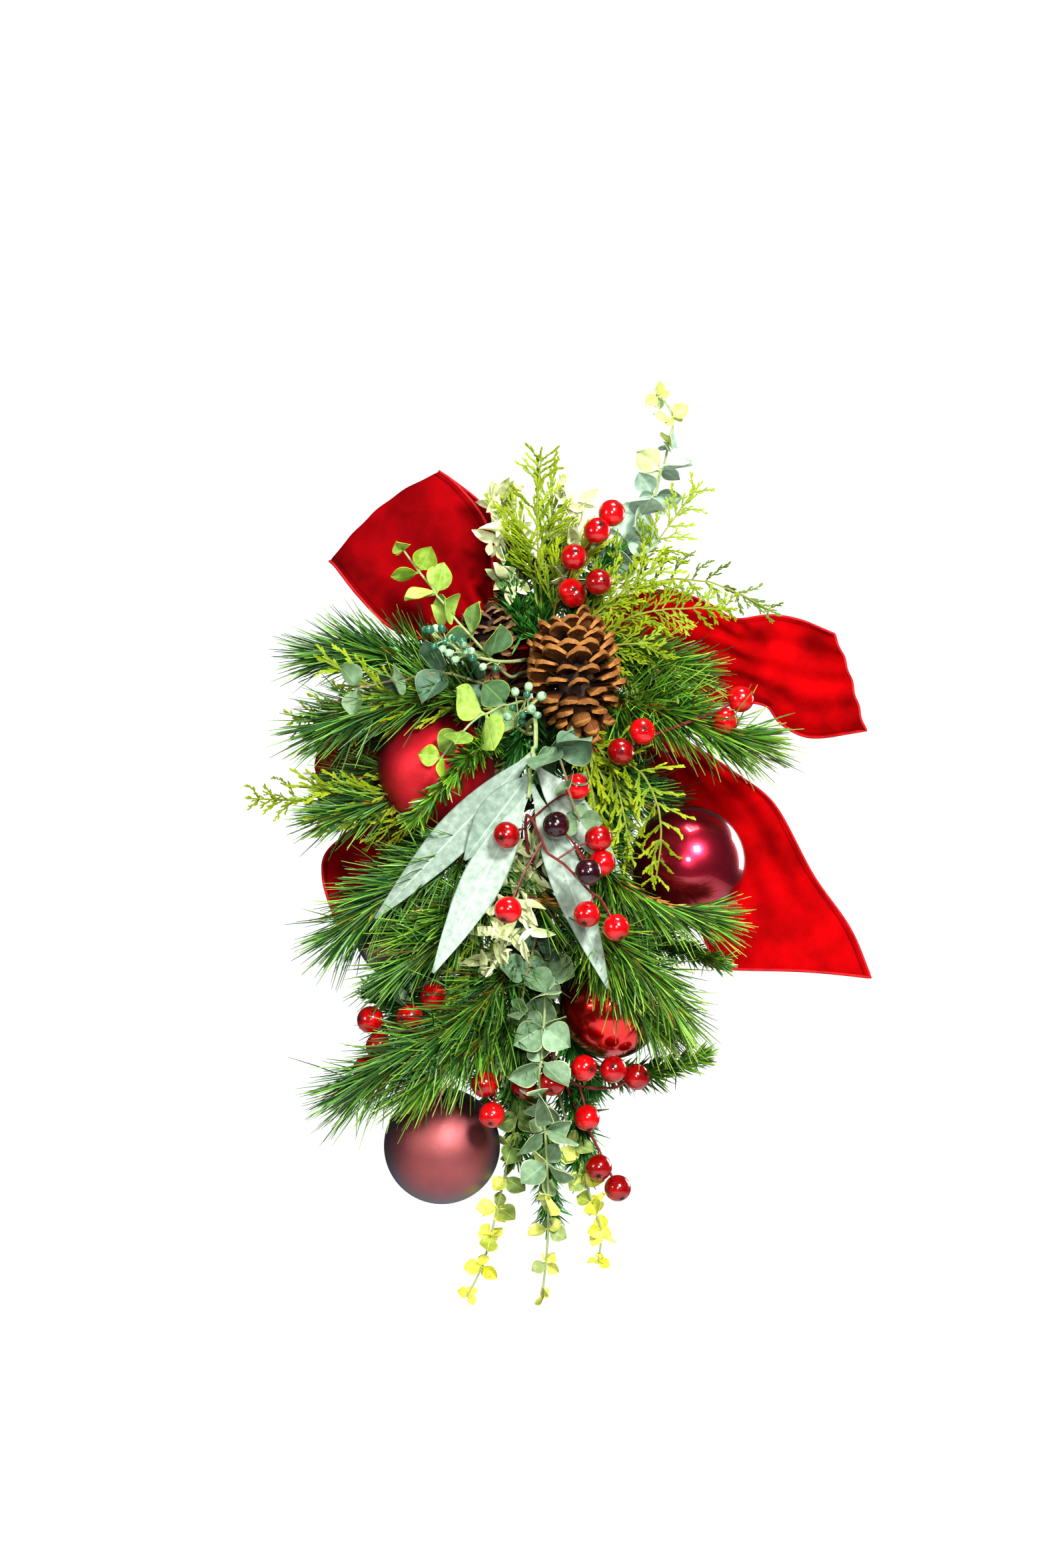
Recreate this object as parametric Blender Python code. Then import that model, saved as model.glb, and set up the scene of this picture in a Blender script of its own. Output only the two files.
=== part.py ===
# Christmas door swag: evergreen sprays, eucalyptus, berries, cones, baubles and a velvet bow,
# every one wired to a single taped bundle of stems that hangs from a flat wire eye.
#
# Frame: X to the right, Y into the door, Z up. The hook bears at the origin and the door's face
# is the plane Y = 0. Sizes and places below are in millimetres; MM turns them into metres.

import math
import random

import bmesh
import bpy
from mathutils import Matrix, Vector
from mathutils.bvhtree import BVHTree

MM = 0.001
SHARP_ANGLE = 62.0

# Places are read off a plane in front of the door, as seen from one point.
VIEW_DISTANCE = 2400.0
PLANE_DEPTH = 80.0
VIEW_X = -23.0
VIEW_Z = -98.0
TO_VIEWER = Vector((0.0, -1.0, 0.0))

# Room kept between separate pieces, and between a stem's root and what carries it.
CLEAR = 0.35
SEAT_GAP = 0.3

# Lines: how far a straight side may stray from one, the steps that draw it and those that bend it
# clear, the length that stays square to the bundle, and the share a point keeps when it is eased.
SAG = 0.8
SHORTEST_SPAN = 2.5
SPAN_STEPS = 12
SPAN_TRIM = 0.8
HEADING_STEP = 1.5
BEND_ROUNDS = 80
ROOT_HOLD = 6.0
ROOT_RISE = 7.0
EASE = 0.6
NEAR = 60.0
INSIDE = -0.98

# The taped bundle of stems, the spine of the swag.
BUNDLE_TOP = 8.0
BUNDLE_BOTTOM = -300.0
BUNDLE_DEPTH = 34.0
BUNDLE_RADIUS_TOP = 9.0
BUNDLE_RADIUS_BOTTOM = 4.5
BUNDLE_X = -8.0
BUNDLE_SIDES = 10
BUNDLE_RINGS = 6

# The flat wire eye at the back.
EYE_HOLE_RADIUS = 10.0
EYE_RIM = 3.6
EYE_THICKNESS = 2.4
EYE_SEGMENTS = 20
SHANK_RADIUS = 1.15
SHANK_SIDES = 6
SHANK_END_Z = -52.0
SHANK_BENDS = ((-1.0, -2.2, -30.8), (-4.5, -10.0, -48.0))

# The velvet ribbon of the bow.
RIBBON_THICKNESS = 1.0
RIBBON_COLUMNS = 2
KNOT_HALF = (17.0, 7.6, 11.0)
KNOT_CENTRE = (-6.0, 17.4, -1.0)
KNOT_SEGMENTS = 10
KNOT_RINGS = 6

# Baubles, their caps and the wire picks that hold them.
BAUBLE_RADIUS = 40.0
SMALL_BAUBLE_RADIUS = 35.0
BAUBLE_SEGMENTS = 14
BAUBLE_RINGS = 8
CAP_RADIUS = 7.5
CAP_HEIGHT = 8.0
CAP_SHOULDER = 0.8
PICK_COLLAR = 1.0
PICK_RADIUS = 1.0
PICK_GAP = 0.7
CAP_SIDES = 7

# Each root is a height on the bundle and an angle round it, 0 at the front, positive to the right.
# Each place is x, z and depth on the measuring plane, as spot() takes them.
BAUBLES = (
    ("bauble_red_satin", "bauble_red_satin", (-82, -88, 75), BAUBLE_RADIUS, (-86, -70)),
    ("bauble_burgundy_right", "bauble_burgundy", (90, -152, 66), BAUBLE_RADIUS, (-146, 70)),
    ("bauble_mauve", "bauble_mauve", (-78, -345, 62), BAUBLE_RADIUS, (-294, -62)),
    ("bauble_burgundy_left", "bauble_burgundy", (-99, -195, 54), BAUBLE_RADIUS, (-188, -80)),
    ("bauble_red_gloss", "bauble_red_gloss", (37, -251, 66), SMALL_BAUBLE_RADIUS, (-242, 54)),
)

# Pine cones: root, line, length and radius of the cone, sides and rows of scales.
CONE_STEM_RADIUS = 1.4
CONE_NECK = 4.0
CONE_SCALE = ((0.4, 0.85), (0.82, 1.0), (1.0, 0.6))
CONE_SCALE_THICKNESS = 2.2
CONE_SCALE_CURL = -2.0
CONE_SCALE_WIDTH = 0.3
CONE_CORE = 0.4
CONE_CORE_SWELL = (0.14, 0.72)
CONE_SCALE_SWELL = (0.17, 0.63)
CONE_STAGGER = 0.14
CONE_WANDER = 0.04
CONE_LEAN_LOW = -0.5
CONE_LEAN_TOP = 1.5
CONES = (
    ("cone_front", (-74, 12),
     ((12, -86, 74), (18, -68, 90), (13, -22, 93), (7, 14, 92)),
     80, 34, 8, 8),
    ("cone_back", (-14, -62),
     ((-36, -28, 57), (-44, -18, 60), (-47, 4, 62), (-48, 24, 64)),
     42, 22, 6, 5),
)

# Leaves, as shares of the length and half widths.
STEM_RADIUS = 1.3
TIP_RADIUS = 0.8
LEAF_THICKNESS = 0.8
LEAF_FOOT = 2.6
LEAF_TRIES = 9
LEAF_LEAN = 0.55
LEAF_FACING = 0.3
LEAF_TWIST = 0.6
LEAF_BEND = 2.0
LEAF_LENGTH = 2.1
ROUND_LEAF = ((0.3, 0.85), (0.66, 1.0), (1.0, 0.4))
OVAL_LEAF = ((0.5, 1.0), (1.0, 0.45))
SMALL_LEAF = 8.5
LANCE_LEAF = ((0.07, 0.22), (0.26, 0.78), (0.5, 1.0), (0.76, 0.62), (1.0, 0.07))
CREAM_LEAF = ((0.45, 1.0), (1.0, 0.2))
CREAM_FOOT = 2.0
CREAM_STEM_RADIUS = 1.2
CREAM_WIDTH = 0.32
CREAM_LEAN = 0.6
CEDAR_LEAF = ((0.4, 1.0), (1.0, 0.25))
CEDAR_FOOT = 3.0
CEDAR_WIDTH = 2.6
CEDAR_THICKNESS = 0.9
CEDAR_RADII = (1.4, 0.9)
CEDAR_BEND = 3.0
CEDAR_LEAN = 0.95

# The long-leaved stem: each leaf's tip, half width, bend and twist in degrees.
WILLOW_STEP = 7.5
WILLOW_RADII = (1.9, 1.4)
WILLOW_SIDES = 6
WILLOW = (
    "willow_leaves", (-66, -34), ((-20, -62, 84), (-15, -54, 110), (-14, -64, 124), (-19, -108, 144)),
    (
        ((-124, -190, 121), 13.0, 3.0, 4.0),
        ((44, -160, 112), 12.0, 3.0, 0.0),
        ((-63, -150, 134), 13.5, 3.0, 4.0),
        ((36, -238, 132), 12.0, -3.0, -6.0),
        ((-84, -227, 154), 13.5, 3.0, -4.0),
    ),
)

# Berry forms: radius, stalk radius, segments and rings.
RED_BERRY = (8.4, 0.8, 7, 4)
SEED_BEAD = (3.1, 0.7, 5, 3)
STALK_SIDES = 3
STALK_DROP = 4.0
STALK_CHOICES = 24
FIRST_STALK = 0.25
BERRIES = (
    ("berries_front", "berry_red", (-150, -6),
     ((-12, -150, 92), (-19, -146, 126), (-21, -120, 148), (-15, -124, 157), (-8, -143, 157),
      (8, -155, 155), (20, -169, 152), (34, -178, 150)),
     ((21, -187, 156), (41, -196, 152), (31, -152, 141), (29, -135, 142), (-34, -133, 158),
      (-33, -184, 168), (14, -100, 138)),
     RED_BERRY),
    ("berries_dark", "berry_dark", (-132, 24),
     ((10, -146, 84), (22, -153, 116), (21, -150, 140), (12, -138, 154)),
     ((0, -126, 154), (22, -158, 173)),
     RED_BERRY),
    ("berries_top", "berry_red", (-10, 8),
     ((0, 22, 62), (12, 40, 82), (22, 62, 88), (30, 80, 90)),
     ((12, 57, 96), (29, 40, 98), (38, 87, 92), (28, 75, 100), (10, 34, 84)),
     RED_BERRY),
    ("berries_right", "berry_red", (-78, 44),
     ((14, -84, 64), (36, -84, 88), (62, -66, 104), (96, -54, 108), (114, -46, 102)),
     ((59, -62, 116), (44, -76, 114), (126, -40, 98), (115, -55, 96)),
     RED_BERRY),
    ("berries_left", "berry_red", (-222, -60),
     ((-40, -234, 70), (-72, -246, 90), (-100, -262, 92), (-120, -282, 84)),
     ((-127, -259, 92), (-100, -257, 100), (-121, -277, 96), (-130, -293, 84), (-84, -243, 100)),
     RED_BERRY),
    ("berries_low", "berry_red", (-232, 6),
     ((-4, -246, 78), (-2, -270, 92), (0, -290, 96), (16, -304, 92), (40, -306, 80)),
     ((-22, -304, 96), (-3, -302, 108), (19, -292, 106), (39, -293, 98), (55, -298, 84), (21, -326, 88)),
     RED_BERRY),
    ("berries_foot", "berry_red", (-288, 50),
     ((10, -312, 60), (22, -334, 68), (32, -354, 70), (38, -366, 70)),
     ((29, -360, 78), (42, -374, 72)),
     RED_BERRY),
    ("seeds_upper", "seed_green", (-12, -44),
     ((-26, -14, 84), (-42, -14, 110), (-62, -8, 119), (-78, 0, 120)),
     ((-89, 7, 118), (-78, 8, 123), (-71, 1, 114), (-78, -6, 120), (-63, -3, 124), (-57, -12, 122),
      (-69, -13, 118), (-50, -18, 116)),
     SEED_BEAD),
    ("seeds_lower", "seed_green", (-56, -20),
     ((-20, -62, 90), (-30, -58, 118), (-24, -48, 130), (-16, -44, 134)),
     ((-28, -35, 134), (-20, -37, 138), (-10, -38, 136), (-30, -46, 132), (-23, -51, 136), (-13, -51, 136)),
     SEED_BEAD),
)

# Silver-dollar sprigs: root, line, share of bare stem, half width of each pair of leaves.
EUCALYPTUS = (
    ("eucalyptus_top", (5, 30),
     ((10, 34, 56), (36, 59, 60), (52, 77, 60), (66, 98, 58), (76, 132, 56), (80, 146, 55), (76, 161, 54),
      (68, 168, 53)),
     0.36, (9, 10, 10, 7, 8, 6, 5, 4)),
    ("eucalyptus_over_loop", (-20, -58),
     ((-33, -24, 82), (-52, -4, 100), (-73, 20, 100), (-90, 42, 96), (-106, 64, 90)),
     0.42, (10, 9, 9, 8, 7, 5)),
    ("eucalyptus_left", (-34, -50),
     ((-42, -32, 84), (-79, -22, 112), (-110, -28, 114), (-138, -33, 110)),
     0.42, (9, 10, 9, 7)),
    ("eucalyptus_over_bauble", (-42, -28),
     ((-26, -42, 92), (-44, -48, 116), (-60, -58, 128), (-80, -82, 130)),
     0.5, (9, 11, 8, 6)),
    ("eucalyptus_centre", (-92, 4),
     ((-2, -94, 90), (-6, -78, 122), (0, -74, 140), (6, -92, 148), (12, -112, 146), (16, -124, 142)),
     0.5, (10, 11, 8, 6)),
    ("eucalyptus_long", (-192, 0),
     ((-6, -212, 84), (-8, -240, 108), (-9, -273, 112), (-8, -314, 112), (-6, -364, 98), (-5, -396, 90),
      (-7, -427, 84), (-10, -450, 80)),
     0.12, (9, 9, 9, 9, 9, 10, 9, 8, 7, 5, 4, 4)),
    ("eucalyptus_foot_right", (-276, 24),
     ((2, -310, 62), (14, -350, 66), (24, -382, 66), (31, -405, 64), (29, -425, 62)),
     0.5, (7, 7, 7, 6, 4)),
    ("eucalyptus_foot_left", (-262, -30),
     ((-18, -290, 64), (-26, -322, 70), (-32, -352, 66), (-39, -382, 64), (-44, -404, 62), (-53, -434, 60),
      (-61, -448, 60)),
     0.28, (9, 8, 8, 8, 7, 7, 6, 4)),
    ("eucalyptus_small_left", (-178, -50),
     ((-34, -200, 74), (-60, -224, 98), (-84, -232, 100), (-104, -242, 100)),
     0.55, (8, 7, 5)),
    ("eucalyptus_small_centre", (-168, -16),
     ((-12, -196, 84), (-19, -226, 112), (-26, -256, 120)),
     0.5, (9, 8, 6)),
)

# Cream-tipped sprays: root, line, share of bare stem, rings of leaves, leaf length.
CREAM_SPRAYS = (
    ("cream_spray_centre", (-86, -12),
     ((-12, -112, 76), (-18, -146, 108), (-28, -180, 118), (-42, -218, 116)),
     0.5, 5, 13.0),
    ("cream_spray_top_left", (-2, -36),
     ((-20, 22, 54), (-32, 46, 60), (-36, 70, 62), (-37, 98, 60)),
     0.5, 3, 12.0),
    ("cream_spray_top_right", (-2, 8),
     ((-2, 24, 56), (8, 48, 66), (12, 72, 68), (12, 94, 66)),
     0.5, 3, 12.0),
)

# Cedar fronds: root, line, share of bare rib, pairs of branchlets, reach of the longest.
CEDAR = (
    ("cedar_top", (5, -12),
     ((-10, 24, 60), (-12, 56, 74), (-13, 92, 76), (-10, 126, 74)),
     0.34, 6, 32.0),
    ("cedar_top_right", (-2, 58),
     ((14, 14, 56), (46, 42, 68), (74, 74, 70), (96, 104, 70)),
     0.32, 6, 32.0),
    ("cedar_right", (-8, 70),
     ((24, 2, 62), (56, 18, 78), (88, 22, 78), (118, 22, 74)),
     0.36, 5, 28.0),
    ("cedar_far_right", (1, 88),
     ((20, 10, 44), (58, 38, 50), (104, 40, 54), (148, 20, 58)),
     0.42, 5, 22.0),
    ("cedar_left", (-38, -88),
     ((-40, -36, 54), (-90, -36, 74), (-130, -46, 82), (-178, -56, 80)),
     0.42, 5, 30.0),
    ("cedar_left_low", (-98, -84),
     ((-42, -104, 42), (-96, -130, 40), (-150, -112, 52), (-206, -108, 56)),
     0.5, 5, 26.0),
    ("cedar_hanging", (-100, 40),
     ((14, -98, 80), (40, -80, 104), (60, -92, 116), (72, -124, 120), (68, -164, 118)),
     0.3, 6, 30.0),
    ("cedar_small", (-128, -34),
     ((-24, -150, 78), (-48, -196, 98), (-66, -232, 104), (-86, -262, 102)),
     0.5, 5, 18.0),
)

# Needle branches: root, line, share of bare stem, needle length, rings, stem radii.
PINE = (1.9, 1.5)
FIR = (1.6, 1.2)
NEEDLE_SIDES = 5
NEEDLE_TRIES = 8
NEEDLE_LEAN = 0.8
NEEDLE_TIP_LEAN = 1.9
NEEDLE_SPREAD = (0.86, 1.06)
PROBE_WIDTH = 0.7
PROBE_FOOT = 0.1
NEEDLE_SPRAYS = (
    ("pine_left", "pine_green", (-30, -74),
     ((-44, -36, 70), (-84, -38, 98), (-120, -46, 98), (-152, -58, 90)),
     0.3, 50.0, 13, PINE),
    ("pine_left_high", "pine_green", (-23, -84),
     ((-40, -32, 44), (-84, -20, 56), (-120, -10, 66), (-150, -10, 68)),
     0.34, 48.0, 12, PINE),
    ("pine_left_middle", "pine_green", (-114, -50),
     ((-36, -126, 84), (-66, -146, 108), (-104, -168, 106), (-140, -196, 98)),
     0.3, 50.0, 13, PINE),
    ("pine_left_low", "pine_green", (-204, -36),
     ((-30, -222, 96), (-56, -252, 112), (-92, -276, 118), (-132, -302, 112)),
     0.28, 54.0, 15, PINE),
    ("pine_right", "pine_green", (-30, 72),
     ((30, -38, 50), (62, -44, 78), (96, -56, 92), (126, -66, 90)),
     0.3, 50.0, 13, PINE),
    ("pine_right_middle", "pine_green", (-118, 42),
     ((16, -128, 72), (34, -158, 104), (62, -176, 116), (98, -188, 112)),
     0.32, 44.0, 13, PINE),
    ("pine_right_low", "pine_green", (-138, 14),
     ((2, -160, 84), (14, -184, 106), (40, -206, 122), (64, -228, 120), (80, -252, 112)),
     0.34, 46.0, 12, PINE),
    ("fir_left", "fir_green", (-56, -62),
     ((-36, -64, 92), (-58, -78, 126), (-76, -98, 130), (-97, -122, 128)),
     0.45, 18.0, 7, FIR),
    ("fir_right", "fir_green", (-20, 66),
     ((24, -12, 50), (54, -8, 66), (70, -22, 84), (86, -38, 88)),
     0.35, 20.0, 7, FIR),
    ("fir_right_middle", "fir_green", (-180, 64),
     ((20, -190, 48), (56, -202, 54), (84, -210, 62), (112, -220, 62)),
     0.42, 18.0, 7, FIR),
    ("fir_right_low", "fir_green", (-252, 62),
     ((22, -288, 44), (52, -296, 56), (76, -292, 66), (98, -284, 68)),
     0.42, 20.0, 7, FIR),
    ("fir_foot", "fir_green", (-292, 0),
     ((-8, -312, 54), (-8, -338, 66), (-6, -366, 66), (-4, -392, 64)),
     0.3, 20.0, 9, FIR),
    ("fir_left_low", "fir_green", (-216, -72),
     ((-42, -238, 56), (-78, -252, 68), (-100, -250, 74), (-124, -240, 76)),
     0.42, 20.0, 7, FIR),
)

# The bow: left edge, right edge and rows of each loop and tail.
BOW_STRIPS = (
    (
        ((-16, -4, 20), (-52, -6, 34), (-88, 0, 42), (-112, 8, 40), (-134, 29, 33), (-152, 52, 24),
         (-156, 56, 17), (-150, 51, 11), (-129, 33, 9), (-104, 14, 9), (-60, 0, 9), (-16, -4, 13)),
        ((-14, 6, 20), (-36, 16, 34), (-41, 32, 42), (-42, 54, 41), (-50, 76, 34), (-74, 109, 24),
         (-78, 113, 17), (-72, 110, 11), (-48, 90, 9), (-34, 62, 9), (-24, 28, 9), (-14, 6, 13)),
        17,
    ),
    (
        ((-16, -8, 19), (-50, -48, 28), (-90, -84, 33), (-130, -112, 28), (-163, -128, 21),
         (-166, -128, 15), (-160, -126, 10), (-120, -106, 8), (-70, -66, 8), (-16, -8, 13)),
        ((-14, 0, 19), (-50, -14, 27), (-90, -26, 31), (-128, -36, 27), (-155, -44, 21),
         (-158, -45, 15), (-152, -43, 10), (-112, -32, 8), (-60, -16, 8), (-14, 0, 13)),
        13,
    ),
    (
        ((-18, -6, 16), (-60, -56, 13), (-104, -100, 12), (-142, -131, 12), (-158, -147, 18),
         (-160, -163, 24), (-152, -188, 22), (-146, -202, 18)),
        ((-10, -9, 16), (-30, -70, 14), (-52, -118, 10), (-76, -156, 7), (-88, -178, 7),
         (-94, -196, 8), (-98, -212, 8), (-100, -226, 9)),
        9,
    ),
    (
        ((-2, -8, 17), (40, -30, 16), (96, -46, 26), (126, -42, 30), (146, -46, 22), (156, -58, 14),
         (172, -66, 16), (213, -61, 30)),
        ((-2, 6, 17), (40, 28, 16), (80, 33, 18), (104, 25, 28), (121, 15, 34), (150, 17, 22),
         (166, 14, 18), (189, 4, 30)),
        12,
    ),
    (
        ((-2, -10, 15), (34, -50, 10), (58, -92, 7), (78, -140, 7), (94, -182, 10), (104, -210, 16),
         (110, -223, 20)),
        ((0, -2, 15), (60, -50, 11), (118, -88, 16), (148, -112, 24), (177, -163, 12),
         (201, -198, 20), (215, -230, 32)),
        9,
    ),
)

COLOURS = {
    "stem_tape": ((0.035, 0.06, 0.025, 1.0), 0.75, 0.0),
    "hook_wire": ((0.45, 0.45, 0.44, 1.0), 0.35, 1.0),
    "velvet_red": ((0.45, 0.003, 0.01, 1.0), 0.9, 0.0),
    "bauble_red_satin": ((0.5, 0.02, 0.035, 1.0), 0.4, 0.4),
    "bauble_burgundy": ((0.14, 0.003, 0.012, 1.0), 0.08, 0.6),
    "bauble_mauve": ((0.2, 0.04, 0.05, 1.0), 0.4, 0.4),
    "bauble_red_gloss": ((0.6, 0.01, 0.015, 1.0), 0.06, 0.6),
    "cap_metal": ((0.65, 0.47, 0.2, 1.0), 0.3, 1.0),
    "cone_wood": ((0.22, 0.1, 0.045, 1.0), 0.8, 0.0),
    "willow_leaf": ((0.24, 0.34, 0.28, 1.0), 0.7, 0.0),
    "berry_red": ((0.55, 0.006, 0.008, 1.0), 0.15, 0.0),
    "berry_dark": ((0.03, 0.003, 0.006, 1.0), 0.15, 0.0),
    "eucalyptus_leaf": ((0.2, 0.33, 0.18, 1.0), 0.65, 0.0),
    "seed_green": ((0.12, 0.32, 0.22, 1.0), 0.6, 0.0),
    "pale_leaf": ((0.62, 0.68, 0.4, 1.0), 0.6, 0.0),
    "cedar_green": ((0.2, 0.35, 0.03, 1.0), 0.65, 0.0),
    "pine_green": ((0.05, 0.2, 0.04, 1.0), 0.55, 0.0),
    "fir_green": ((0.03, 0.14, 0.04, 1.0), 0.6, 0.0),
}


# Places and lines

def spot(x, z, depth):
    """The point this deep in front of the door that is seen at x, z on the measuring plane."""
    shrink = (VIEW_DISTANCE - depth) / (VIEW_DISTANCE - PLANE_DEPTH)
    seen_x = VIEW_X + (x - VIEW_X) * shrink
    seen_z = VIEW_Z + (z - VIEW_Z) * shrink
    return Vector((seen_x, -depth, seen_z)) * MM


def bundle_radius(z):
    """The radius of the bundle at a height."""
    share = (BUNDLE_TOP - z) / (BUNDLE_TOP - BUNDLE_BOTTOM)
    return BUNDLE_RADIUS_TOP + (BUNDLE_RADIUS_BOTTOM - BUNDLE_RADIUS_TOP) * share


def bundle_spot(z, angle, off):
    """A point off the bundle's surface: angle 0 faces the viewer, positive turns right."""
    turn = math.radians(angle)
    reach = bundle_radius(z) + off
    x = BUNDLE_X + math.sin(turn) * reach
    return Vector((x, -BUNDLE_DEPTH - math.cos(turn) * reach, z)) * MM


def unit_across(direction, axis):
    """The part of a direction that is square to an axis, one long."""
    flat = direction - axis * direction.dot(axis)
    if flat.length < 1e-6:
        flat = axis.orthogonal()
    return flat.normalized()


def wander(direction, amount, rng):
    """A direction turned a little, each way by up to about the given amount."""
    nudge = Vector((rng.uniform(-1, 1), rng.uniform(-1, 1), rng.uniform(-1, 1)))
    return (direction + nudge * amount).normalized()


def between(a, b, c, d, t):
    """A point on the curve from b to c, which turns evenly however far apart the points are."""
    before, here, after = (math.sqrt((q - p).length) for p, q in ((a, b), (b, c), (c, d)))
    leave = c - b + here * ((b - a) / before - (c - a) / (before + here))
    arrive = c - b + here * ((d - c) / after - (d - b) / (here + after))
    cubic = 2 * (b - c) + leave + arrive
    square = 3 * (c - b) - 2 * leave - arrive
    return cubic * t**3 + square * t**2 + leave * t + b


class Route:
    """A smooth line through placed points, measured along its length."""

    def __init__(self, points):
        ends = [points[0] * 2 - points[1], *points, points[-1] * 2 - points[-2]]
        self.points = []
        for a, b, c, d in zip(ends, ends[1:], ends[2:], ends[3:]):
            for step in range(SPAN_STEPS):
                self.points.append(between(a, b, c, d, step / SPAN_STEPS))
        self.points.append(points[-1].copy())
        self.measure()

    def measure(self):
        """Notes how far along the line each of its points is."""
        self.marks = [0.0]
        for a, b in zip(self.points, self.points[1:]):
            self.marks.append(self.marks[-1] + (b - a).length)
        self.length = self.marks[-1]

    def at(self, distance):
        """The point this far along."""
        distance = min(max(distance, 0.0), self.length)
        for i in range(1, len(self.marks)):
            if self.marks[i] >= distance:
                step = max(self.marks[i] - self.marks[i - 1], 1e-9)
                share = (distance - self.marks[i - 1]) / step
                return self.points[i - 1].lerp(self.points[i], share)
        return self.points[-1].copy()

    def heading(self, distance):
        """The way the line runs, this far along."""
        step = HEADING_STEP * MM
        return (self.at(distance + step) - self.at(distance - step)).normalized()

    def bend_clear(self, radius):
        """Moves the line off the finished pieces; the length next to its root stays."""
        first = next((i for i, mark in enumerate(self.marks) if mark > ROOT_HOLD * MM), 1)
        for _ in range(BEND_ROUNDS):
            moved = False
            for i in range(first, len(self.points)):
                shift = SPACE.way_out(self.points[i], (radius + CLEAR + SAG) * MM)
                if shift is not None:
                    self.points[i] = self.points[i] + shift
                    moved = True
            if not moved:
                break
            old = [p.copy() for p in self.points]
            for i in range(first, len(self.points) - 1):
                self.points[i] = old[i] * EASE + (old[i - 1] + old[i + 1]) * (1 - EASE) / 2
        self.measure()

    def sag(self, start, end):
        """How far the line strays from the straight way between two distances along it."""
        a, b = self.at(start), self.at(end)
        way = (b - a).normalized()
        strays = []
        for step in range(1, 8):
            off = self.at(start + (end - start) * step / 8) - a
            strays.append((off - way * off.dot(way)).length)
        return max(strays)

    def ring_marks(self, start, end):
        """The distances where a straight-sided tube needs a ring to follow the line."""
        marks = [start]
        while marks[-1] < end - SAG * MM:
            reach = end
            while self.sag(marks[-1], reach) > SAG * MM and reach - marks[-1] > SHORTEST_SPAN * MM:
                reach = marks[-1] + (reach - marks[-1]) * SPAN_TRIM
            marks.append(reach)
        marks[-1] = end
        return marks


def stem_from_bundle(root, places):
    """A line that leaves the bundle squarely at its root and then runs through the places."""
    start = bundle_spot(*root, SEAT_GAP)
    risen = bundle_spot(*root, ROOT_RISE)
    return Route([start, risen, *[spot(*p) for p in places]])


# Room between pieces

class Space:
    """The finished pieces, asked whether a new one fits between them."""

    def __init__(self):
        self.trees = []

    def add(self, points, faces):
        """Takes in a finished piece."""
        self.trees.append(BVHTree.FromPolygons(points, faces))

    def add_mesh(self, mesh):
        """Takes in a finished piece that is a mesh being edited."""
        self.trees.append(BVHTree.FromBMesh(mesh))

    def way_out(self, point, room):
        """The move that takes a point this far off the pieces, or None when it is clear."""
        for tree in self.trees:
            near, normal, _, distance = tree.find_nearest(point, NEAR * MM)
            if near is None:
                continue
            out = point - near
            if out.dot(normal) < INSIDE * distance:
                return near + normal * room - point
            if distance < room:
                aside = out / distance if distance > 1e-7 else normal
                return aside * (room - distance)
        return None

    def crossed_by(self, points, faces):
        """Whether a piece crosses a finished one."""
        tree = BVHTree.FromPolygons(points, faces)
        return any(other.overlap(tree) for other in self.trees)

    def fits(self, points, faces):
        """Whether a piece crosses none of the finished ones and keeps off them."""
        if self.crossed_by(points, faces):
            return False
        return all(self.way_out(p, CLEAR * MM) is None for p in points)


SPACE = Space()


# Stems with needles, leaves and scales

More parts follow.
